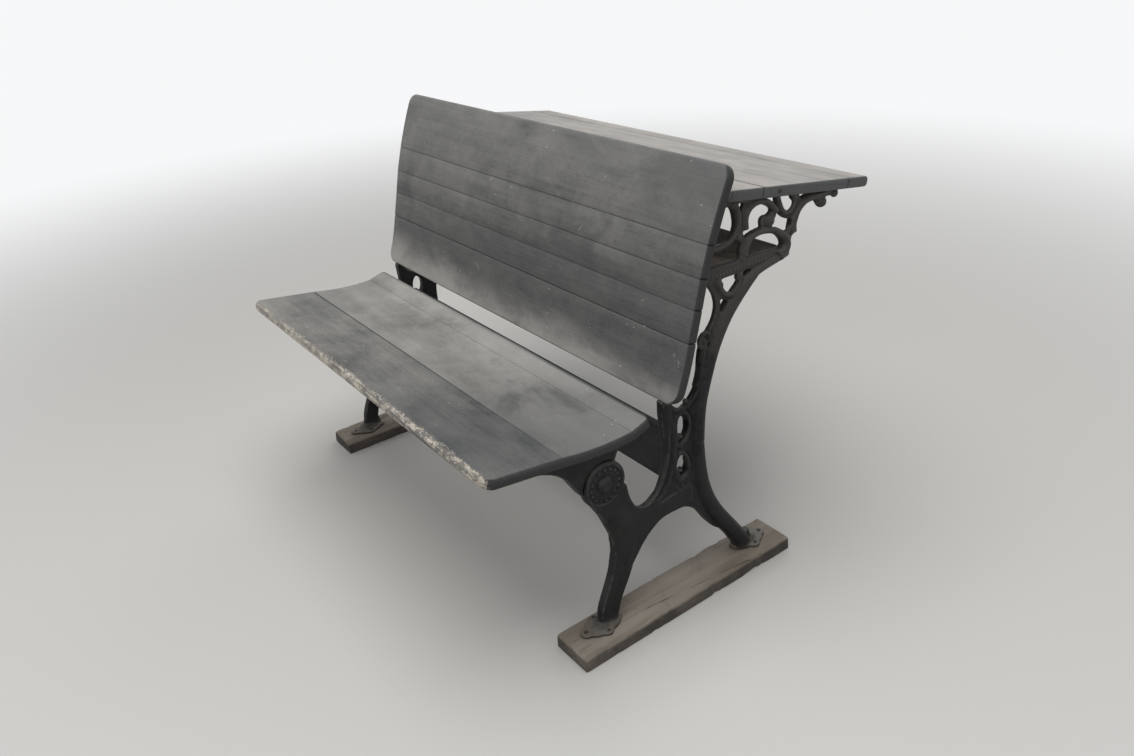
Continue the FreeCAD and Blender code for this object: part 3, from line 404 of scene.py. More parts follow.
# Painted shade: hollows, found by low pointiness, are darkened
HOLLOW_SHADE_BAND = (0.495, 0.455, 0.0, 0.8)
RIDGE_WEAR_AND_HIGHLIGHT_BAND = (0.512, 0.565)
RIDGE_PIT_BAND = (0.35, 0.55)
RUST_BAND = (0.54, 0.74)
UPWARD_BAND = (0.15, 0.95)
SETTLED_BAND = (0.25, 0.62)
TRODDEN_BORDER_BAND = (0.3, 0.7, -8 * MM, 8 * MM)
TRODDEN_BAND = (SKID_TOP + 26 * MM, SKID_TOP + 7 * MM)
TRODDEN_UPWARD_BAND = (-0.1, 0.9)
TRODDEN_SIDE_SHARE = 0.25
IRON_SHEEN_BAND = (0.3, 0.7, 0.34, 0.60)
PIT_RELIEF = (1.1 * MM, 0.45)
SAND_RELIEF = (0.3 * MM, 0.5)


# Helpers for materials

class Finish:
    """One procedural material, with short calls for its nodes."""

    def __init__(self, name, colour, roughness=0.6, specular=0.5):
        self.material = bpy.data.materials.new(name)
        self.material.use_nodes = True
        self.tree = self.material.node_tree
        self.shader = self.tree.nodes["Principled BSDF"]
        self.shader.inputs["Roughness"].default_value = roughness
        self.shader.inputs["Specular IOR Level"].default_value = specular
        self.coords = self.tree.nodes.new("ShaderNodeTexCoord")
        self.whole = self.coords.outputs["Object"]
        self.colour = colour
        self.normal = None

    def node(self, kind, settings=None, inputs=None):
        made = self.tree.nodes.new(kind)
        for key, value in (settings or {}).items():
            setattr(made, key, value)
        for key, value in (inputs or {}).items():
            self.put(made.inputs[key], value)
        return made

    def put(self, socket, value):
        if isinstance(value, bpy.types.NodeSocket):
            self.tree.links.new(value, socket)
        else:
            socket.default_value = value

    def place(self, vector=None, scale=(1, 1, 1), turn=(0, 0, 0), shift=(0, 0, 0)):
        inputs = {"Vector": vector or self.whole, "Scale": scale, "Rotation": turn, "Location": shift}
        return self.node("ShaderNodeMapping", inputs=inputs).outputs["Vector"]

    def seeded(self, vector, seed, steps):
        """Coordinates moved by as many steps as the seed says."""
        return self.place(vector, shift=tuple(seed * step for step in steps))

    def cloud(self, vector, scale, detail, roughness, distortion=0.0):
        inputs = {"Vector": vector, "Scale": scale, "Detail": detail, "Roughness": roughness,
                  "Distortion": distortion}
        return self.node("ShaderNodeTexNoise", inputs=inputs).outputs["Fac"]

    def pattern(self, vector, recipe, shift=(0, 0, 0)):
        """Noise from a recipe that starts with a stretch."""
        stretch, *settings = recipe
        return self.cloud(self.place(vector, scale=stretch, shift=shift), *settings)

    def cells(self, vector, scale, feature="F1"):
        inputs = {"Vector": vector, "Scale": scale}
        return self.node("ShaderNodeTexVoronoi", {"feature": feature}, inputs).outputs["Distance"]

    def measure(self, operation, second):
        """Dot product or distance of each point and a second vector."""
        made = self.node("ShaderNodeVectorMath", {"operation": operation}, {0: self.whole, 1: second})
        return made.outputs["Value"]

    def sums(self, operation, first, second=0.0, clamp=False):
        settings = {"operation": operation, "use_clamp": clamp}
        return self.node("ShaderNodeMath", settings, {0: first, 1: second}).outputs[0]

    def both(self, first, second):
        return self.sums("MULTIPLY", first, second)

    def span(self, value, low, high, start=0.0, end=1.0):
        inputs = {"Value": value, "From Min": low, "From Max": high, "To Min": start, "To Max": end}
        made = self.node("ShaderNodeMapRange", {"interpolation_type": "SMOOTHSTEP"}, inputs)
        return made.outputs["Result"]

    def parts(self, vector):
        return self.node("ShaderNodeSeparateXYZ", inputs={"Vector": vector}).outputs

    def blend(self, share, first, second):
        # Inputs 6 and 7 and output 2 of this node are the ones for colours
        made = self.node("ShaderNodeMix", {"data_type": "RGBA"}, {0: share, 6: first, 7: second})
        return made.outputs[2]

    def cover(self, share, tint):
        """Lays a colour over the colours so far."""
        self.colour = self.blend(share, self.colour, tint)

    def relief(self, height, distance, strength):
        """Adds a relief to the reliefs so far."""
        inputs = {"Height": height, "Distance": distance, "Strength": strength}
        if self.normal is not None:
            inputs["Normal"] = self.normal
        self.normal = self.node("ShaderNodeBump", inputs=inputs).outputs["Normal"]

    def show(self, roughness=None):
        inputs = {"Base Color": self.colour, "Normal": self.normal, "Roughness": roughness}
        for key, value in inputs.items():
            if value is not None:
                self.put(self.shader.inputs[key], value)
        return self.material


class Lie:
    """Where a board lies: its middle, tilt about X and half sizes, read from its CAD node."""

    def __init__(self, node):
        mesh = NODES[node].data
        area = {}
        for face in mesh.polygons:
            key = tuple(round(part, NORMAL_DIGITS) for part in face.normal)
            area[key] = area.get(key, 0.0) + face.area
        upper = [key for key in area if key[2] > 0 and abs(key[0]) < SIDEWAYS_LIMIT]
        normal = Vector(max(upper, key=area.get))
        self.tilt = math.atan2(-normal.y, normal.z)
        self.turn = Matrix.Rotation(-self.tilt, 4, "X")
        points = [self.turn @ vertex.co for vertex in mesh.vertices]
        low = Vector([min(point[axis] for point in points) for axis in range(3)])
        high = Vector([max(point[axis] for point in points) for axis in range(3)])
        self.middle = (low + high) / 2
        self.half = (high - low) / 2

    def local(self, finish):
        """Coordinates along, across and out of the board, from its middle."""
        return finish.place(turn=(-self.tilt, 0, 0), shift=-self.middle)


# Paint

def side_distances(finish, local, lie):
    """Distances from a board's low side and from its high side."""
    _, across, _ = finish.parts(local)
    return {
        "low": finish.sums("ADD", across, lie.half.y),
        "high": finish.sums("SUBTRACT", lie.half.y, across),
    }


def rubbed_edges(finish, local, distances, wear):
    """Share of bare wood: ragged chips that die out inwards from the worn sides."""
    coarse = finish.both(finish.pattern(local, RUB_COARSE), RUB_COARSE_SHARE)
    fine = finish.both(finish.cloud(local, *RUB_FINE), RUB_FINE_SHARE)
    ragged = finish.sums("ADD", coarse, fine)
    share = 0.0
    for side, (reach, start) in wear.items():
        left = finish.sums("SUBTRACT", ragged, finish.sums("DIVIDE", distances[side], reach))
        share = finish.sums("MAXIMUM", finish.span(left, start, start + RUB_FADE, 0.0, RUB_MOST), share)
    return finish.both(share, finish.span(finish.pattern(local, REMNANTS), *REMNANT_BAND))


def scratches_and_flecks(finish, shifted, mottle, share):
    """Fine broken scratches and small pale flecks over the paint."""
    lines = finish.cells(finish.place(shifted, scale=SCRATCH_STRETCH), 1.0, "DISTANCE_TO_EDGE")
    breaks = finish.cloud(shifted, *SCRATCH_BREAKS)
    broken = finish.span(breaks, *SCRATCH_BREAK_BAND, 0.0, share * SCRATCH_SHARE)
    finish.cover(finish.both(finish.span(lines, *SCRATCH_WIDTH_BAND), broken), DUST_GREY)
    dents = finish.cells(finish.place(shifted, scale=FLECK_STRETCH), FLECK_FINENESS)
    flecks = finish.both(finish.span(dents, *FLECK_SIZE_BAND), finish.span(mottle, *FLECK_PLACE_BAND))
    finish.cover(finish.both(flecks, share), SPECK_PALE)


def seam_lines_and_edge_light(finish, local, distances, streak, seams):
    """Lines along the sides where a board meets the next one; on the seat also a painted highlight at one
    seam and painted shade along the free rear edge.
    """
    along, _, _ = finish.parts(local)
    for side, (width, most, tint, stretch) in seams.items():
        line = finish.span(distances[side], width, width / SEAM_FADE, 0.0, most)
        line = finish.both(line, finish.span(streak, *SEAM_STREAK_BAND))
        finish.cover(finish.both(line, finish.span(along, *stretch)), tint)


def painted_wood(node, seed, coat, wear, seams):
    """Worn, dusty paint over grain along the board, with stains, scratches, seams, rubbed edges and painted
    shade on its end faces.
    """
    finish = Finish("painted_" + node, coat["deep"], specular=PAINT_SPECULAR)
    lie = Lie(node)
    local = lie.local(finish)
    shifted = finish.seeded(local, seed, PAINT_SHIFT)
    grain = finish.pattern(shifted, PAINT_GRAIN)
    streak = finish.pattern(shifted, PAINT_STREAK)
    patch = finish.pattern(finish.whole, PAINT_PATCH)
    mottle = finish.pattern(finish.whole, PAINT_MOTTLE)
    stain = finish.pattern(finish.whole, PAINT_STAIN, PAINT_STAIN_SHIFT)
    speckle = finish.cloud(shifted, *PAINT_SPECKLE)
    endways, _, _ = finish.parts(finish.coords.outputs["Normal"])
    faces = finish.span(finish.sums("ABSOLUTE", endways), *FACE_BAND)
    finish.cover(finish.span(grain, *GRAIN_BAND), coat["paint"])
    dusty = finish.span(patch, *PATCH_BAND, *coat["veil"])
    for cloud, band in zip((mottle, streak, speckle), DUST_BANDS):
        dusty = finish.sums("ADD", dusty, finish.span(cloud, *band), True)
    finish.cover(finish.both(dusty, faces), coat["dust"])
    for slope, start, full, tint, most, stray in coat["zones"]:
        place = finish.measure("DOT_PRODUCT", slope)
        for cloud, reach in ((stain, stray), (mottle, stray * FINE_BORDER_SHARE)):
            place = finish.sums("ADD", place, finish.span(cloud, *BORDER_BAND, -reach, reach))
        finish.cover(finish.both(finish.span(place, start, full, 0.0, most), faces), tint)
    finish.cover(finish.span(stain, *STAIN_BAND, 0.0, coat["stained"]), coat["deep"])
    scratches_and_flecks(finish, shifted, mottle, coat["flecked"])
    distances = side_distances(finish, local, lie)
    seam_lines_and_edge_light(finish, local, distances, streak, seams)
    # Painted shade: the end faces, told apart by their sideways normals, are darkened
    finish.cover(finish.both(finish.sums("SUBTRACT", 1.0, faces), END_SHADE_SHARE), coat["ends"])
    rubbed = rubbed_edges(finish, local, distances, wear)
    finish.cover(rubbed, finish.blend(finish.span(grain, *BARE_GRAIN_BAND), coat["bare"], coat["paint"]))
    finish.relief(grain, *GRAIN_RELIEF)
    finish.relief(finish.cloud(shifted, *PAINT_TOOTH), *TOOTH_RELIEF)
    finish.relief(finish.sums("SUBTRACT", 1.0, rubbed), *RUB_RELIEF)
    return finish.show(finish.span(patch, *PAINT_SHEEN_BAND))


# Bare wood

def run(lengthways, along, across):
    """Stretch of a pattern that runs along one axis."""
    return tuple(along if part else across for part in lengthways)


def bare_wood(name, node, seed, dark, pale, lengthways):
    """Dry, weathered plank with open grain, cracks and scuffs, and painted shade on its sides."""
    finish = Finish(name, dark, PLANK_ROUGHNESS)
    shifted = finish.seeded(None, seed, PLANK_SHIFT)
    grain = finish.pattern(shifted, (run(lengthways, *PLANK_GRAIN_RUN), *PLANK_GRAIN))
    bands = finish.pattern(shifted, (run(lengthways, *PLANK_BANDS_RUN), *PLANK_BANDS))
    grime = finish.cloud(shifted, *PLANK_GRIME)
    finish.cover(finish.span(bands, *PLANK_PALE_BAND), pale)
    finish.cover(finish.span(grain, *PLANK_GRAIN_BAND), SKID_DARK)
    finish.cover(finish.span(grime, *PLANK_GRIME_BAND), SKID_DARK)
    _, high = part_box(node)
    _, _, height = finish.parts(finish.whole)
    # Painted shade: the sides below the top are darkened, broken up by the grime noise
    sides = finish.span(height, high.z - PLANK_SIDE_SHADE_START, high.z - PLANK_SIDE_SHADE_FULL)
    finish.cover(finish.both(sides, finish.span(grime, *PLANK_SIDE_SHADE_BAND)), SKID_DARK)
    drift = finish.pattern(shifted, (run(lengthways, *CRACK_RUN), *CRACK_DRIFT))
    off_crack = finish.sums("ABSOLUTE", finish.sums("SUBTRACT", drift, CRACK_LEVEL))
    crack = finish.both(finish.span(off_crack, *CRACK_WIDTH_BAND), finish.span(grime, *CRACK_PLACE_BAND))
    finish.cover(crack, SKID_DARK)
    splinters = finish.span(finish.cells(shifted, SPLINTER_FINENESS), *SPLINTER_SIZE_BAND)
    finish.cover(finish.both(splinters, finish.span(grime, *SPLINTER_PLACE_BAND)), SPECK_PALE)
    finish.relief(finish.sums("SUBTRACT", grain, crack), *PLANK_RELIEF)
    finish.relief(finish.cloud(shifted, *PLANK_TOOTH), *PLANK_TOOTH_RELIEF)
    return finish.show()


# Iron

def cast_iron(name, seed, rust_share, dust_share, ridge_wear_and_highlight_share, trodden_share):
    """Black japanned casting: sand-cast grain, grey rubbed ridges that also carry a painted highlight,
    painted shade in the hollows, painted light on the upper parts, rust tints, dust on top faces.
    """
    finish = Finish(name, IRON_BLACK, specular=IRON_SPECULAR)
    shifted = finish.seeded(None, seed, IRON_SHIFT)
    mottle = finish.cloud(shifted, *IRON_MOTTLE)
    pits = finish.cloud(shifted, *IRON_PITS)
    finish.cover(finish.span(mottle, *IRON_GREY_BAND), IRON_GREY)
    # Painted light: higher up and further back, the castings are lightened toward the dust colour to stand
    # for stronger light there
    high = finish.measure("DOT_PRODUCT", PAINTED_LIGHT_SLOPE)
    painted_light = finish.sums("ADD", high, finish.span(mottle, *PAINTED_LIGHT_BORDER_BAND))
    finish.cover(finish.span(painted_light, *PAINTED_LIGHT_BAND), IRON_DUST_AND_LIGHT)
    bend = finish.node("ShaderNodeNewGeometry").outputs["Pointiness"]
    # Painted shade: hollows and creases of the castings are darkened to black
    finish.cover(finish.span(bend, *HOLLOW_SHADE_BAND), IRON_BLACK)
    # Ridges: rubbed wear that is also a painted highlight, lightened where the pits allow
    ridges = finish.span(bend, *RIDGE_WEAR_AND_HIGHLIGHT_BAND, 0.0, ridge_wear_and_highlight_share)
    finish.cover(finish.both(ridges, finish.span(pits, *RIDGE_PIT_BAND)), IRON_EDGE_WEAR_AND_HIGHLIGHT)
    rust = finish.cloud(finish.place(shifted, shift=RUST_SHIFT), *RUST_SPOTS)
    finish.cover(finish.span(rust, *RUST_BAND, 0.0, rust_share), IRON_RUST)
    _, _, upward = finish.parts(finish.coords.outputs["Normal"])
    settled = finish.both(finish.span(upward, *UPWARD_BAND), finish.span(mottle, *SETTLED_BAND))
    finish.cover(finish.both(settled, dust_share), IRON_DUST_AND_LIGHT)
    _, _, height = finish.parts(finish.whole)
    trodden = finish.sums("ADD", height, finish.span(mottle, *TRODDEN_BORDER_BAND))
    trodden = finish.span(trodden, *TRODDEN_BAND)
    side_share = TRODDEN_SIDE_SHARE * trodden_share
    trodden = finish.both(trodden, finish.span(upward, *TRODDEN_UPWARD_BAND, side_share, trodden_share))
    finish.cover(trodden, FOOT_DUST)
    finish.relief(pits, *PIT_RELIEF)
    finish.relief(finish.cloud(shifted, *IRON_SAND), *SAND_RELIEF)
    return finish.show(finish.span(mottle, *IRON_SHEEN_BAND))


# Stage

def make_camera():
    data = bpy.data.cameras.new("photo_camera")
    data.sensor_fit = "HORIZONTAL"
    data.sensor_width = SENSOR_WIDTH_MM
    data.lens = FOCAL_PX / PHOTO_WIDTH_PX * SENSOR_WIDTH_MM
    camera = bpy.data.objects.new("photo_camera", data)
    tip = Matrix.Rotation(math.pi / 2 - CAMERA_ELEVATION, 4, "X")
    turn = Matrix.Rotation(CAMERA_AZIMUTH, 4, "Z") @ tip @ Matrix.Rotation(CAMERA_ROLL, 4, "Z")
    camera.matrix_world = Matrix.Translation(CAMERA_PLACE) @ turn
    bpy.context.scene.collection.objects.link(camera)
    bpy.context.scene.camera = camera


def seen_rays(tree):
    """1 for the rays that show the background: straight, mirrored or through glass."""
    rays = tree.nodes.new("ShaderNodeLightPath").outputs
    share = rays["Is Camera Ray"]
    for kind in ("Is Glossy Ray", "Is Transmission Ray"):
        most = tree.nodes.new("ShaderNodeMath")
        most.operation = "MAXIMUM"
        tree.links.new(share, most.inputs[0])
        tree.links.new(rays[kind], most.inputs[1])
        share = most.outputs[0]
    return share


def floor_finish():
    """Pale floor that fades into the white backdrop away from the bench."""
    finish = Finish("plain_floor", FLOOR_COLOUR, FLOOR_ROUGHNESS)
    finish.show()
    away = finish.measure("DISTANCE", FLOOR_FADE_MIDDLE)
    share = finish.both(finish.span(away, *FLOOR_FADE), seen_rays(finish.tree))
    backdrop = {"Color": BACKDROP_COLOUR, "Strength": BACKDROP_STRENGTH}
    glow = finish.node("ShaderNodeEmission", inputs=backdrop)
    layers = {0: share, 1: finish.shader.outputs[0], 2: glow.outputs[0]}
    surface = finish.node("ShaderNodeMixShader", inputs=layers).outputs[0]
    finish.put(finish.tree.nodes["Material Output"].inputs["Surface"], surface)
    return finish.material


def make_floor():
    shape = bmesh.new()
    bmesh.ops.create_grid(shape, x_segments=1, y_segments=1, size=FLOOR_HALF)
    floor = new_piece("studio_floor", shape)
    floor.data.materials.append(floor_finish())


def make_lamp(name, place, size, power):
    data = bpy.data.lights.new(name, "AREA")
    data.shape = "DISK"
    data.size = size
    data.energy = power
    lamp = bpy.data.objects.new(name, data)
    turn = (place - LAMP_AIM).to_track_quat("Z", "Y")
    lamp.matrix_world = Matrix.Translation(place) @ turn.to_matrix().to_4x4()
    bpy.context.scene.collection.objects.link(lamp)


def make_world():
    """Soft sky for the light, and a white backdrop where it is seen."""
    world = bpy.data.worlds.new("studio")
    world.use_nodes = True
    tree = world.node_tree
    sky = tree.nodes["Background"]
    sky.inputs["Color"].default_value = WORLD_COLOUR
    sky.inputs["Strength"].default_value = WORLD_STRENGTH
    backdrop = tree.nodes.new("ShaderNodeBackground")
    backdrop.inputs["Color"].default_value = BACKDROP_COLOUR
    backdrop.inputs["Strength"].default_value = BACKDROP_STRENGTH
    choice = tree.nodes.new("ShaderNodeMixShader")
    for number, source in enumerate((seen_rays(tree), sky.outputs[0], backdrop.outputs[0])):
        tree.links.new(source, choice.inputs[number])
    tree.links.new(choice.outputs[0], tree.nodes["World Output"].inputs["Surface"])
    bpy.context.scene.world = world
    bpy.context.scene.view_settings.view_transform = "Standard"


# Meshes

def new_piece(name, shape):
    mesh = bpy.data.meshes.new(name)
    shape.to_mesh(mesh)
    shape.free()
    piece = bpy.data.objects.new(name, mesh)
    bpy.context.scene.collection.objects.link(piece)
    return piece


def smooth_piece(name, shape, body, material):
    """Smoothly shaded piece that rides with a body."""
    piece = new_piece(name, shape)
    piece.data.shade_smooth()
    piece.data.materials.append(material)
    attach(piece, body)
    return piece


def node_shape(node):
    """Welded copy of a CAD node's mesh."""
    shape = bmesh.new()
    shape.from_mesh(NODES[node].data)
    bmesh.ops.remove_doubles(shape, verts=shape.verts, dist=WELD)
    return shape


def cut_rim(shape, place, normal, side):
    """Cuts a shape at a plane, clears one side of it and returns the edges of the cut."""
    everything = shape.verts[:] + shape.edges[:] + shape.faces[:]
    cut = bmesh.ops.bisect_plane(shape, geom=everything, dist=WELD, plane_co=place, plane_no=normal,
                                 clear_inner=side == "inner", clear_outer=side == "outer")
    return [part for part in cut["geom_cut"] if isinstance(part, bmesh.types.BMEdge)]


def evenly(first, last, count):
    return [first + (last - first) * number / (count - 1) for number in range(count)]


# Castings

def cast_place(across, up, face):
    return Vector((face, PIVOT.y + across * MM, PIVOT.z + up * MM))


def add_bead(shape, places, radii, face, flatness=1.0, closed=False):
    """Round bar along a smooth line on a casting's face, pressed flat where flatness is below 1."""
    data = bpy.data.curves.new("bead", "CURVE")
    data.dimensions = "3D"
    data.bevel_depth = MM
    data.bevel_resolution = BAR_ROUNDNESS
    data.resolution_u = BAR_STEPS
    data.use_fill_caps = True
    path = data.splines.new("NURBS")
    path.points.add(len(places) - 1)
    for point, (across, up), radius in zip(path.points, places, radii):
        point.co = (0, PIVOT.y + across * MM, PIVOT.z + up * MM, 1)
        point.radius = radius
    path.order_u = BAR_ORDER
    path.use_endpoint_u = not closed
    path.use_cyclic_u = closed
    maker = bpy.data.objects.new("bead", data)
    mesh = bpy.data.meshes.new_from_object(maker)
    mesh.transform(Matrix.Translation((face, 0, 0)) @ Matrix.Diagonal((flatness, 1, 1, 1)))
    shape.from_mesh(mesh)
    bpy.data.objects.remove(maker)
    bpy.data.curves.remove(data)
    bpy.data.meshes.remove(mesh)


def add_bulb(shape, across, up, radius, face):
    middle = Matrix.Translation(cast_place(across, up, face))
    bmesh.ops.create_icosphere(shape, subdivisions=BULB_FINENESS, radius=radius * MM, matrix=middle)


def arc(radius, angles):
    return [(radius * math.cos(angle), radius * math.sin(angle)) for angle in angles]


def circle(radius, count):
    return arc(radius, [math.tau * number / count for number in range(count)])


def add_cone(shape, middle, depth, low, high, flatness=1.0):
    place = Matrix.Translation(middle) @ Matrix.Diagonal((flatness, 1, 1, 1))
    bmesh.ops.create_cone(shape, cap_ends=True, segments=CONE_SEGMENTS, radius1=low, radius2=high,
                          depth=depth, matrix=place)


def add_foot(shape, reach, flares):
    """Thin lobed foot plate, and the flare of the leg down to it."""
    plate_middle = SKID_TOP + FOOT_THICKNESS / 2
    for across, along, radius in FOOT_LOBES:
        middle = Vector((STANDARD_MIDDLE + across * MM, PIVOT.y + (reach + along) * MM, plate_middle))
        add_cone(shape, middle, FOOT_THICKNESS, radius * MM, (radius - FOOT_LOBE_TAPER) * MM)
    for place, height, depth, low, high in flares:
        middle = Vector((ANKLE_MIDDLE, PIVOT.y + place * MM, plate_middle + height * MM))
        add_cone(shape, middle, depth * MM, low * MM, high * MM, ANKLE_FLATNESS)


def cast_skin(name, shape, voxel):
    """Melts overlapping solids into one rounded skin, as a sand casting has."""
    rough = new_piece(name, shape)
    melt = rough.modifiers.new("melt", "REMESH")
    melt.mode = "VOXEL"
    melt.voxel_size = voxel
    soften = rough.modifiers.new("soften", "SMOOTH")
    soften.factor = CAST_SOFTNESS
    soften.iterations = CAST_SMOOTHING
    bpy.context.view_layer.update()
    mesh = bpy.data.meshes.new_from_object(rough.evaluated_get(bpy.context.evaluated_depsgraph_get()))
    spent = rough.data
    bpy.data.objects.remove(rough)
    bpy.data.meshes.remove(spent)
    skin = bmesh.new()
    skin.from_mesh(mesh)
    bpy.data.meshes.remove(mesh)
    return skin


def standard_skin():
    """The standard with new feet, and with beads, swells, bulbs and pellets on its face."""
    shape = node_shape("right_standard")
    bmesh.ops.holes_fill(shape, edges=cut_rim(shape, (0, 0, FOOT_TOP), (0, 0, 1), "inner"))
    for places, first, last in BEADS:
        add_bead(shape, places, evenly(first, last, len(places)), WEB_FACE)
    for places, radii, flatness in SWELLS:
        add_bead(shape, places, radii, PLATE_FACE, flatness)
    for across, up, radius in BULBS:
        add_bulb(shape, across, up, radius, BULB_FACE)
    (start, start_up), (end, end_up), count, radius = LEDGE_PELLETS
    for across, up in zip(evenly(start, end, count), evenly(start_up, end_up, count)):
        add_bulb(shape, across, up, radius, WEB_FACE)
    ring, count, radius = HEAD_PELLETS
    for across, up in circle(ring, count):
        add_bulb(shape, across, up, radius, PELLET_FACE)
    ring, radius = HEAD_RING
    add_bead(shape, circle(ring, HEAD_RING_POINTS), [radius] * HEAD_RING_POINTS, WEB_FACE, closed=True)
    for reach, flares in zip(FOOT_REACHES, ANKLES):
        add_foot(shape, reach, flares)
    return cast_skin("standard_rough", shape, CAST_VOXEL)


def arm_skin():
    """The seat arm with a cheek that lies round the pivot head, level with its face."""
    shape = node_shape("right_seat_arm")
    radius, first, last = CHEEK_ARC
    outline = arc(radius, [math.radians(angle) for angle in evenly(first, last, CHEEK_ARC_POINTS)])
    outline += CHEEK_OUTLINE
    inner, outer = CHEEK_FACES
    face = shape.faces.new([shape.verts.new(cast_place(across, up, inner)) for across, up in outline])
    raised = bmesh.ops.extrude_face_region(shape, geom=[face])["geom"]
    corners = [part for part in raised if isinstance(part, bmesh.types.BMVert)]
    bmesh.ops.translate(shape, vec=(outer - inner, 0, 0), verts=corners)
    bmesh.ops.recalc_face_normals(shape, faces=shape.faces)
    return cast_skin("arm_rough", shape, ARM_VOXEL)


def other_side(shape):
    bmesh.ops.scale(shape, vec=(-1, 1, 1), verts=shape.verts)
    bmesh.ops.reverse_faces(shape, faces=shape.faces)
    return shape


def fit_casting(node, shape, body, material):
    piece = smooth_piece(node + "_casting", shape, body, material)
    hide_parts(node)


def fit_castings(iron):
    for part, make_skin, body in (("standard", standard_skin, "frame"), ("seat_arm", arm_skin, "seat")):
        skin = make_skin()
        fit_casting("right_" + part, skin.copy(), body, iron)
        fit_casting("left_" + part, other_side(skin), body, iron)


# Screws and other hardware

def screw_head(shape, seat, slot_turn):
    """Domed, slotted screw head on a face whose place and turn are given."""
    made = bmesh.ops.create_uvsphere(shape, u_segments=SCREW_SEGMENTS, v_segments=SCREW_RINGS,
                                     radius=SCREW_RADIUS)
    dome = made["verts"]
    bmesh.ops.scale(shape, vec=(1, 1, SCREW_RISE / SCREW_RADIUS), verts=dome)
    slot = [vertex for vertex in dome if abs(vertex.co.x) < SCREW_RADIUS * SLOT_SHARE and vertex.co.z > 0]
    bmesh.ops.translate(shape, vec=(0, 0, -SCREW_RISE * SLOT_DEPTH_SHARE), verts=slot)
    bmesh.ops.transform(shape, matrix=seat @ Matrix.Rotation(slot_turn, 4, "Z"), verts=dome)


def foot_screws(shape):
    top = SKID_TOP + FOOT_THICKNESS - SCREW_SINK
    for side in (-1, 1):
        for reach in FOOT_REACHES:
            for number, (across, along) in enumerate(FOOT_SCREWS):
                place = (side * (STANDARD_MIDDLE + across * MM), PIVOT.y + (reach + along) * MM, top)
                screw_head(shape, Matrix.Translation(place), FOOT_SLOT_STEP * number + reach)


def hinge_screws(shape, board, reach):
    """Row of screws in each hinge leaf, at one reach across its board."""
    lie = Lie(board)
    for side in (-1, 1):
        for number, along in enumerate(HINGE_SCREWS):
            place = lie.middle + Vector((side * HINGE_MIDDLE + along, reach, lie.half.z))
            seat = lie.turn.inverted() @ Matrix.Translation(place)
            screw_head(shape, seat, HINGE_SLOT_STEP * number + side)


def lid_end_screws(shape):
    across, up = LID_END_SCREW
    for side in (-1, 1):
        place = Matrix.Translation((side * Lie("lid_main_board").half.x, across, up))
        screw_head(shape, place @ Matrix.Rotation(side * math.pi / 2, 4, "Y"), LID_END_SLOT)


def fit_screws(name, shape, body, material):
    smooth_piece(name, shape, body, material)


def fit_hardware(steel):
    fixed_screws = bmesh.new()
    foot_screws(fixed_screws)
    hinge_screws(fixed_screws, "desk_strip", STRIP_SCREW_REACH)
    fit_screws("fixed_screws", fixed_screws, "frame", steel)
    lid_screws = bmesh.new()
    hinge_screws(lid_screws, "lid_main_board", LID_SCREW_REACH)
    lid_end_screws(lid_screws)
    fit_screws("lid_screws", lid_screws, "lid", steel)
    for node in ("pivot_bolts", "pivot_nuts", "strip_hinge_leaves", "lid_hinge_leaves", "hinge_pins"):
        NODES[node].data.materials.clear()
        NODES[node].data.materials.append(steel)


# Boards

def sharp_edges(shape):
    inner = [edge for edge in shape.edges if len(edge.link_faces) == 2]
    return [edge for edge in inner if edge.calc_face_angle() > SHARP_ANGLE]


def round_over(shape, edges, radius, segments=SEAM_SEGMENTS, clamp=True):
    bmesh.ops.bevel(shape, geom=edges, offset=radius, segments=segments, profile=ROUND_PROFILE,
                    affect="EDGES", material=-1, clamp_overlap=clamp)


def plain_shape(node):
    """Copy of a CAD board with its flat stretches joined to whole faces."""
    shape = node_shape(node)
    bmesh.ops.dissolve_limit(shape, angle_limit=FLAT_ANGLE, verts=shape.verts, edges=shape.edges)
    return shape


def board_shape(node, outer, rounding):
    """The CAD board with its ends and outer sides rubbed round, and its seams just eased."""
    lie = Lie(node)
    shape = plain_shape(node)
    soft = []
    for edge in sharp_edges(shape):
        middle = lie.turn @ ((edge.verts[0].co + edge.verts[1].co) / 2) - lie.middle
        at_end = abs(middle.x) > lie.half.x * END_EDGE_SHARE
        side = "high" if middle.y > 0 else "low"
        if at_end or side in outer:
            soft.append(edge)
    round_over(shape, soft, rounding, OUTER_SEGMENTS, False)
    round_over(shape, sharp_edges(shape), SEAM_ROUNDING)
    bmesh.ops.dissolve_degenerate(shape, dist=SLIVER, edges=shape.edges)
    return shape


def section(node):
    """Outline of a CAD board at mid length, as ordered points."""
    shape = node_shape(node)
    rim = cut_rim(shape, (0, 0, 0), (1, 0, 0), "outer")
    place = rim[0].verts[0]
    points = []
    while rim:
        edge = next(edge for edge in rim if place in edge.verts)
        rim.remove(edge)
        points.append(place.co.copy())
        place = edge.other_vert(place)
    shape.free()
    return points


def soften_outline(points, radius_at, steps):
    """Outline with each clear corner turned into a short curve of its own radius."""
    result = []
    for before, corner, after in zip(points[-1:] + points[:-1], points, points[1:] + points[:1]):
        back, ahead = before - corner, after - corner
        angle = back.angle(ahead)
        if angle > STRAIGHT_ANGLE:
            result.append(corner)
            continue
        longest = min(back.length, ahead.length) * CORNER_REACH_SHARE
        reach = min(radius_at(corner) / math.tan(angle / 2), longest)
        start, end = corner + back.normalized() * reach, corner + ahead.normalized() * reach
        for number in range(steps + 1):
            share = number / steps
            result.append(start * (1 - share) ** 2 + corner * 2 * share * (1 - share) + end * share ** 2)
    return result


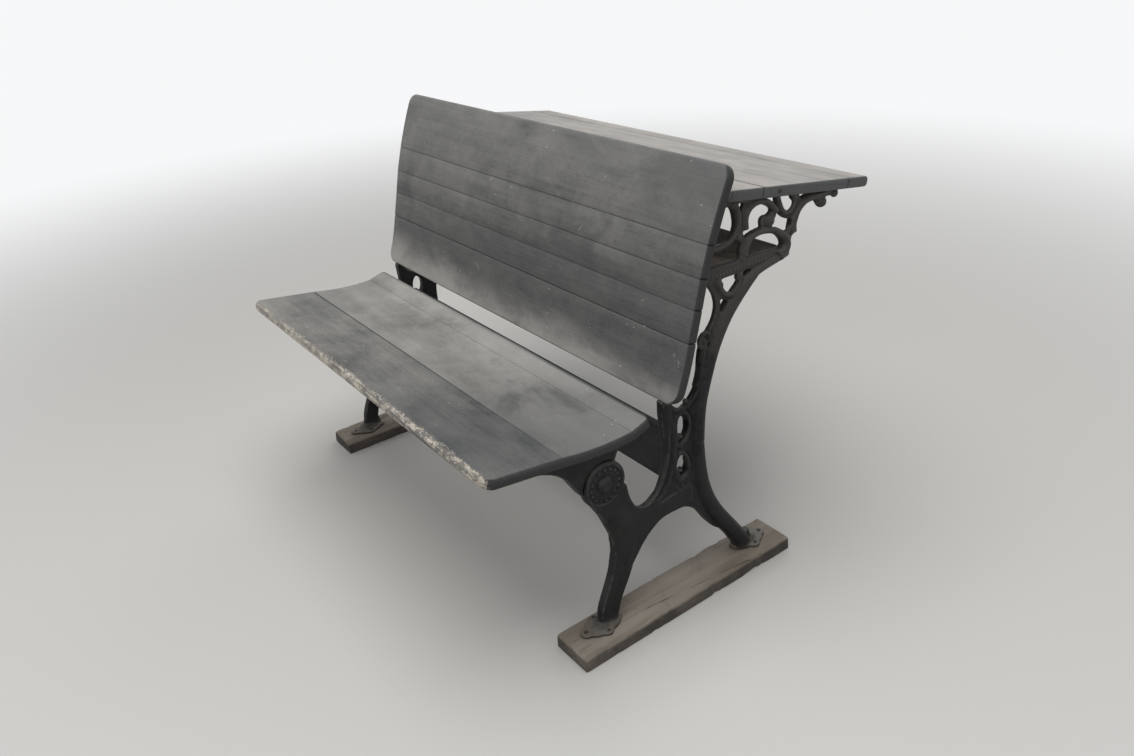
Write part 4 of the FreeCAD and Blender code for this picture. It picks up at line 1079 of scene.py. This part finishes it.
def faces_at(points, across):
    """Heights of a board's lower and upper face at one place across it."""
    heights = []
    for first, second in zip(points, points[1:] + points[:1]):
        if first.y != second.y and (first.y - across) * (second.y - across) <= 0:
            heights.append(first.z + (second.z - first.z) * (across - first.y) / (second.y - first.y))
    return min(heights), max(heights)


def quarter(radius, depth):
    """How far a quarter circle has fallen away at a depth from its end."""
    left = max(0.0, radius - depth)
    return radius - math.sqrt(radius ** 2 - left ** 2)


def seat_section(node, lie, sign):
    """Outline of a seat board about its middle, with a rounded free side and eased seams."""
    def radius_at(spot):
        return SEAT_ROUNDING if spot.y * sign > 0 else SEAM_ROUNDING

    points = [lie.turn @ point - lie.middle for point in section(node)]
    return [spot.freeze() for spot in soften_outline(points, radius_at, OUTER_SEGMENTS)]


def seat_shape(node, outer):
    """The CAD seat board drawn again along its length, with well rounded ends, corners and outer side."""
    lie = Lie(node)
    sign = {"low": -1, "high": 1}.get(outer, 0)
    points = seat_section(node, lie, sign)
    inside = lie.half.y - SEAT_ROUNDING - SEAT_FLAT_MARGIN
    heights = {spot: faces_at(points, max(-inside, min(inside, spot.y))) for spot in points}
    edge = max(spot.y * sign for spot in points) if sign else 0.0
    corner = SEAT_CORNERS.get(outer, SEAT_ROUNDING)
    depths = [corner * (1 - math.cos(math.pi / 2 * number / END_STEPS)) for number in range(END_STEPS + 1)]
    stations = [(-lie.half.x + depth, depth) for depth in depths]
    stations += [(lie.half.x - depth, depth) for depth in reversed(depths)]
    shape = bmesh.new()
    rings = []
    for along, depth in stations:
        inset = quarter(SEAT_ROUNDING, depth)
        fall = quarter(corner, depth) if sign else 0.0
        ring = []
        for spot in points:
            inward = spot.y * sign - (edge - CORNER_ZONE)
            across = spot.y - sign * fall * max(0.0, inward) / CORNER_ZONE
            low, high = heights[spot]
            up = (low + high) / 2 + (spot.z - (low + high) / 2) * (1 - 2 * inset / (high - low))
            place = Vector((along, across, up)) + Vector((0, lie.middle.y, lie.middle.z))
            ring.append(shape.verts.new(lie.turn.inverted() @ place))
        rings.append(ring)
    for first, second in zip(rings, rings[1:]):
        for number in range(len(points)):
            follow = (number + 1) % len(points)
            shape.faces.new((first[number], first[follow], second[follow], second[number]))
    shape.faces.new(rings[0])
    shape.faces.new(rings[-1])
    bmesh.ops.recalc_face_normals(shape, faces=shape.faces)
    return shape


def open_gap(shape, lie, gap):
    """Draws a board's high side back, from nothing at its right end to the whole gap at its left end."""
    back = lie.turn.inverted()
    for vertex in shape.verts:
        spot = lie.turn @ vertex.co - lie.middle
        if spot.y > 0:
            vertex.co += back @ Vector((0, -gap * (1 - spot.x / lie.half.x) / 2, 0))


def chip_edges(shape, node):
    """Breaks a skid's long edges up with small uneven chips that stay inside the CAD plank."""
    long_edges = [edge for edge in shape.edges if abs(edge.verts[0].co.y - edge.verts[1].co.y) > SKID_LONG]
    bmesh.ops.subdivide_edges(shape, edges=long_edges, cuts=SKID_STEPS, use_grid_fill=True)
    shape.normal_update()
    low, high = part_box(node)
    for vertex in shape.verts:
        bite = noise.fractal(vertex.co * CHIP_FINENESS, *CHIP_NOISE)
        vertex.co -= vertex.normal * CHIP_DEPTH * max(0.0, min(1.0, bite))
        vertex.co = [max(low[axis], min(high[axis], vertex.co[axis])) for axis in range(3)]
    bmesh.ops.dissolve_degenerate(shape, dist=WELD, edges=shape.edges)


def skid_shape(node):
    shape = plain_shape(node)
    round_over(shape, sharp_edges(shape), SKID_ROUNDING)
    chip_edges(shape, node)
    return shape


def fit_board(node, shape, body, material):
    piece = smooth_piece("worn_" + node, shape, body, material)
    piece.data.set_sharp_from_angle(angle=SMOOTH_ANGLE)
    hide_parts(node)


def sides_of(node, wear, seam):
    """A board's free side with its wear, and a seam on each of its other sides."""
    free = FREE_SIDES.get(node)
    worn = {free: wear} if free else {}
    return worn, {side: seam for side in ("low", "high") if side != free}


def fit_back():
    for number, node in enumerate(BACK_BOARDS):
        wear, seams = sides_of(node, BACK_WEAR, BACK_SEAM)
        paint = painted_wood(node, BACK_SEED + number, BACK_COAT, wear, seams)
        fit_board(node, board_shape(node, wear, BACK_ROUNDING), "frame", paint)


def fit_stretcher():
    paint = painted_wood("stretcher_board", STRETCHER_SEED, STRETCHER_COAT, {}, {})
    shape = board_shape("stretcher_board", ("low", "high"), OUTER_ROUNDING)
    fit_board("stretcher_board", shape, "frame", paint)


def fit_seat():
    for number, (node, veil, seams) in enumerate(zip(SEAT_BOARDS, SEAT_VEILS, SEAT_SEAMS_AND_EDGE_LIGHT)):
        outer = FREE_SIDES.get(node)
        wear = {"low": SEAT_WEAR} if outer == "low" else {}
        paint = painted_wood(node, SEAT_SEED + number, dict(SEAT_COAT, veil=veil), wear, seams)
        shape = seat_shape(node, outer)
        if node == "seat_front_board":
            open_gap(shape, Lie(node), SEAT_GAP)
        fit_board(node, shape, "seat", paint)


def fit_top():
    for number, (node, body) in enumerate(TOP_BOARDS):
        wear, seams = sides_of(node, TOP_WEAR, TOP_SEAM)
        paint = painted_wood(node, TOP_SEED + number, TOP_COAT, wear, seams)
        fit_board(node, board_shape(node, wear, OUTER_ROUNDING), body, paint)


def fit_bare_planks():
    for number, node in enumerate(("left_skid", "right_skid")):
        plank = bare_wood("weathered_" + node, node, SKID_SEED + number, SKID_BROWN, SKID_GREY, (0, 1, 0))
        fit_board(node, skid_shape(node), "frame", plank)
    plank = bare_wood("bare_shelf", "shelf_board", SHELF_SEED, SHELF_BROWN, SHELF_PALE, (1, 0, 0))
    shape = board_shape("shelf_board", (), OUTER_ROUNDING)
    fit_board("shelf_board", shape, "frame", plank)


make_camera()
make_floor()
for lamp in LAMPS:
    make_lamp(*lamp)
make_world()
fit_castings(cast_iron("black_cast_iron", *CASTING_FINISH))
fit_hardware(cast_iron("dark_iron_hardware", *HARDWARE_FINISH))
fit_back()
fit_stretcher()
fit_seat()
fit_top()
fit_bare_planks()
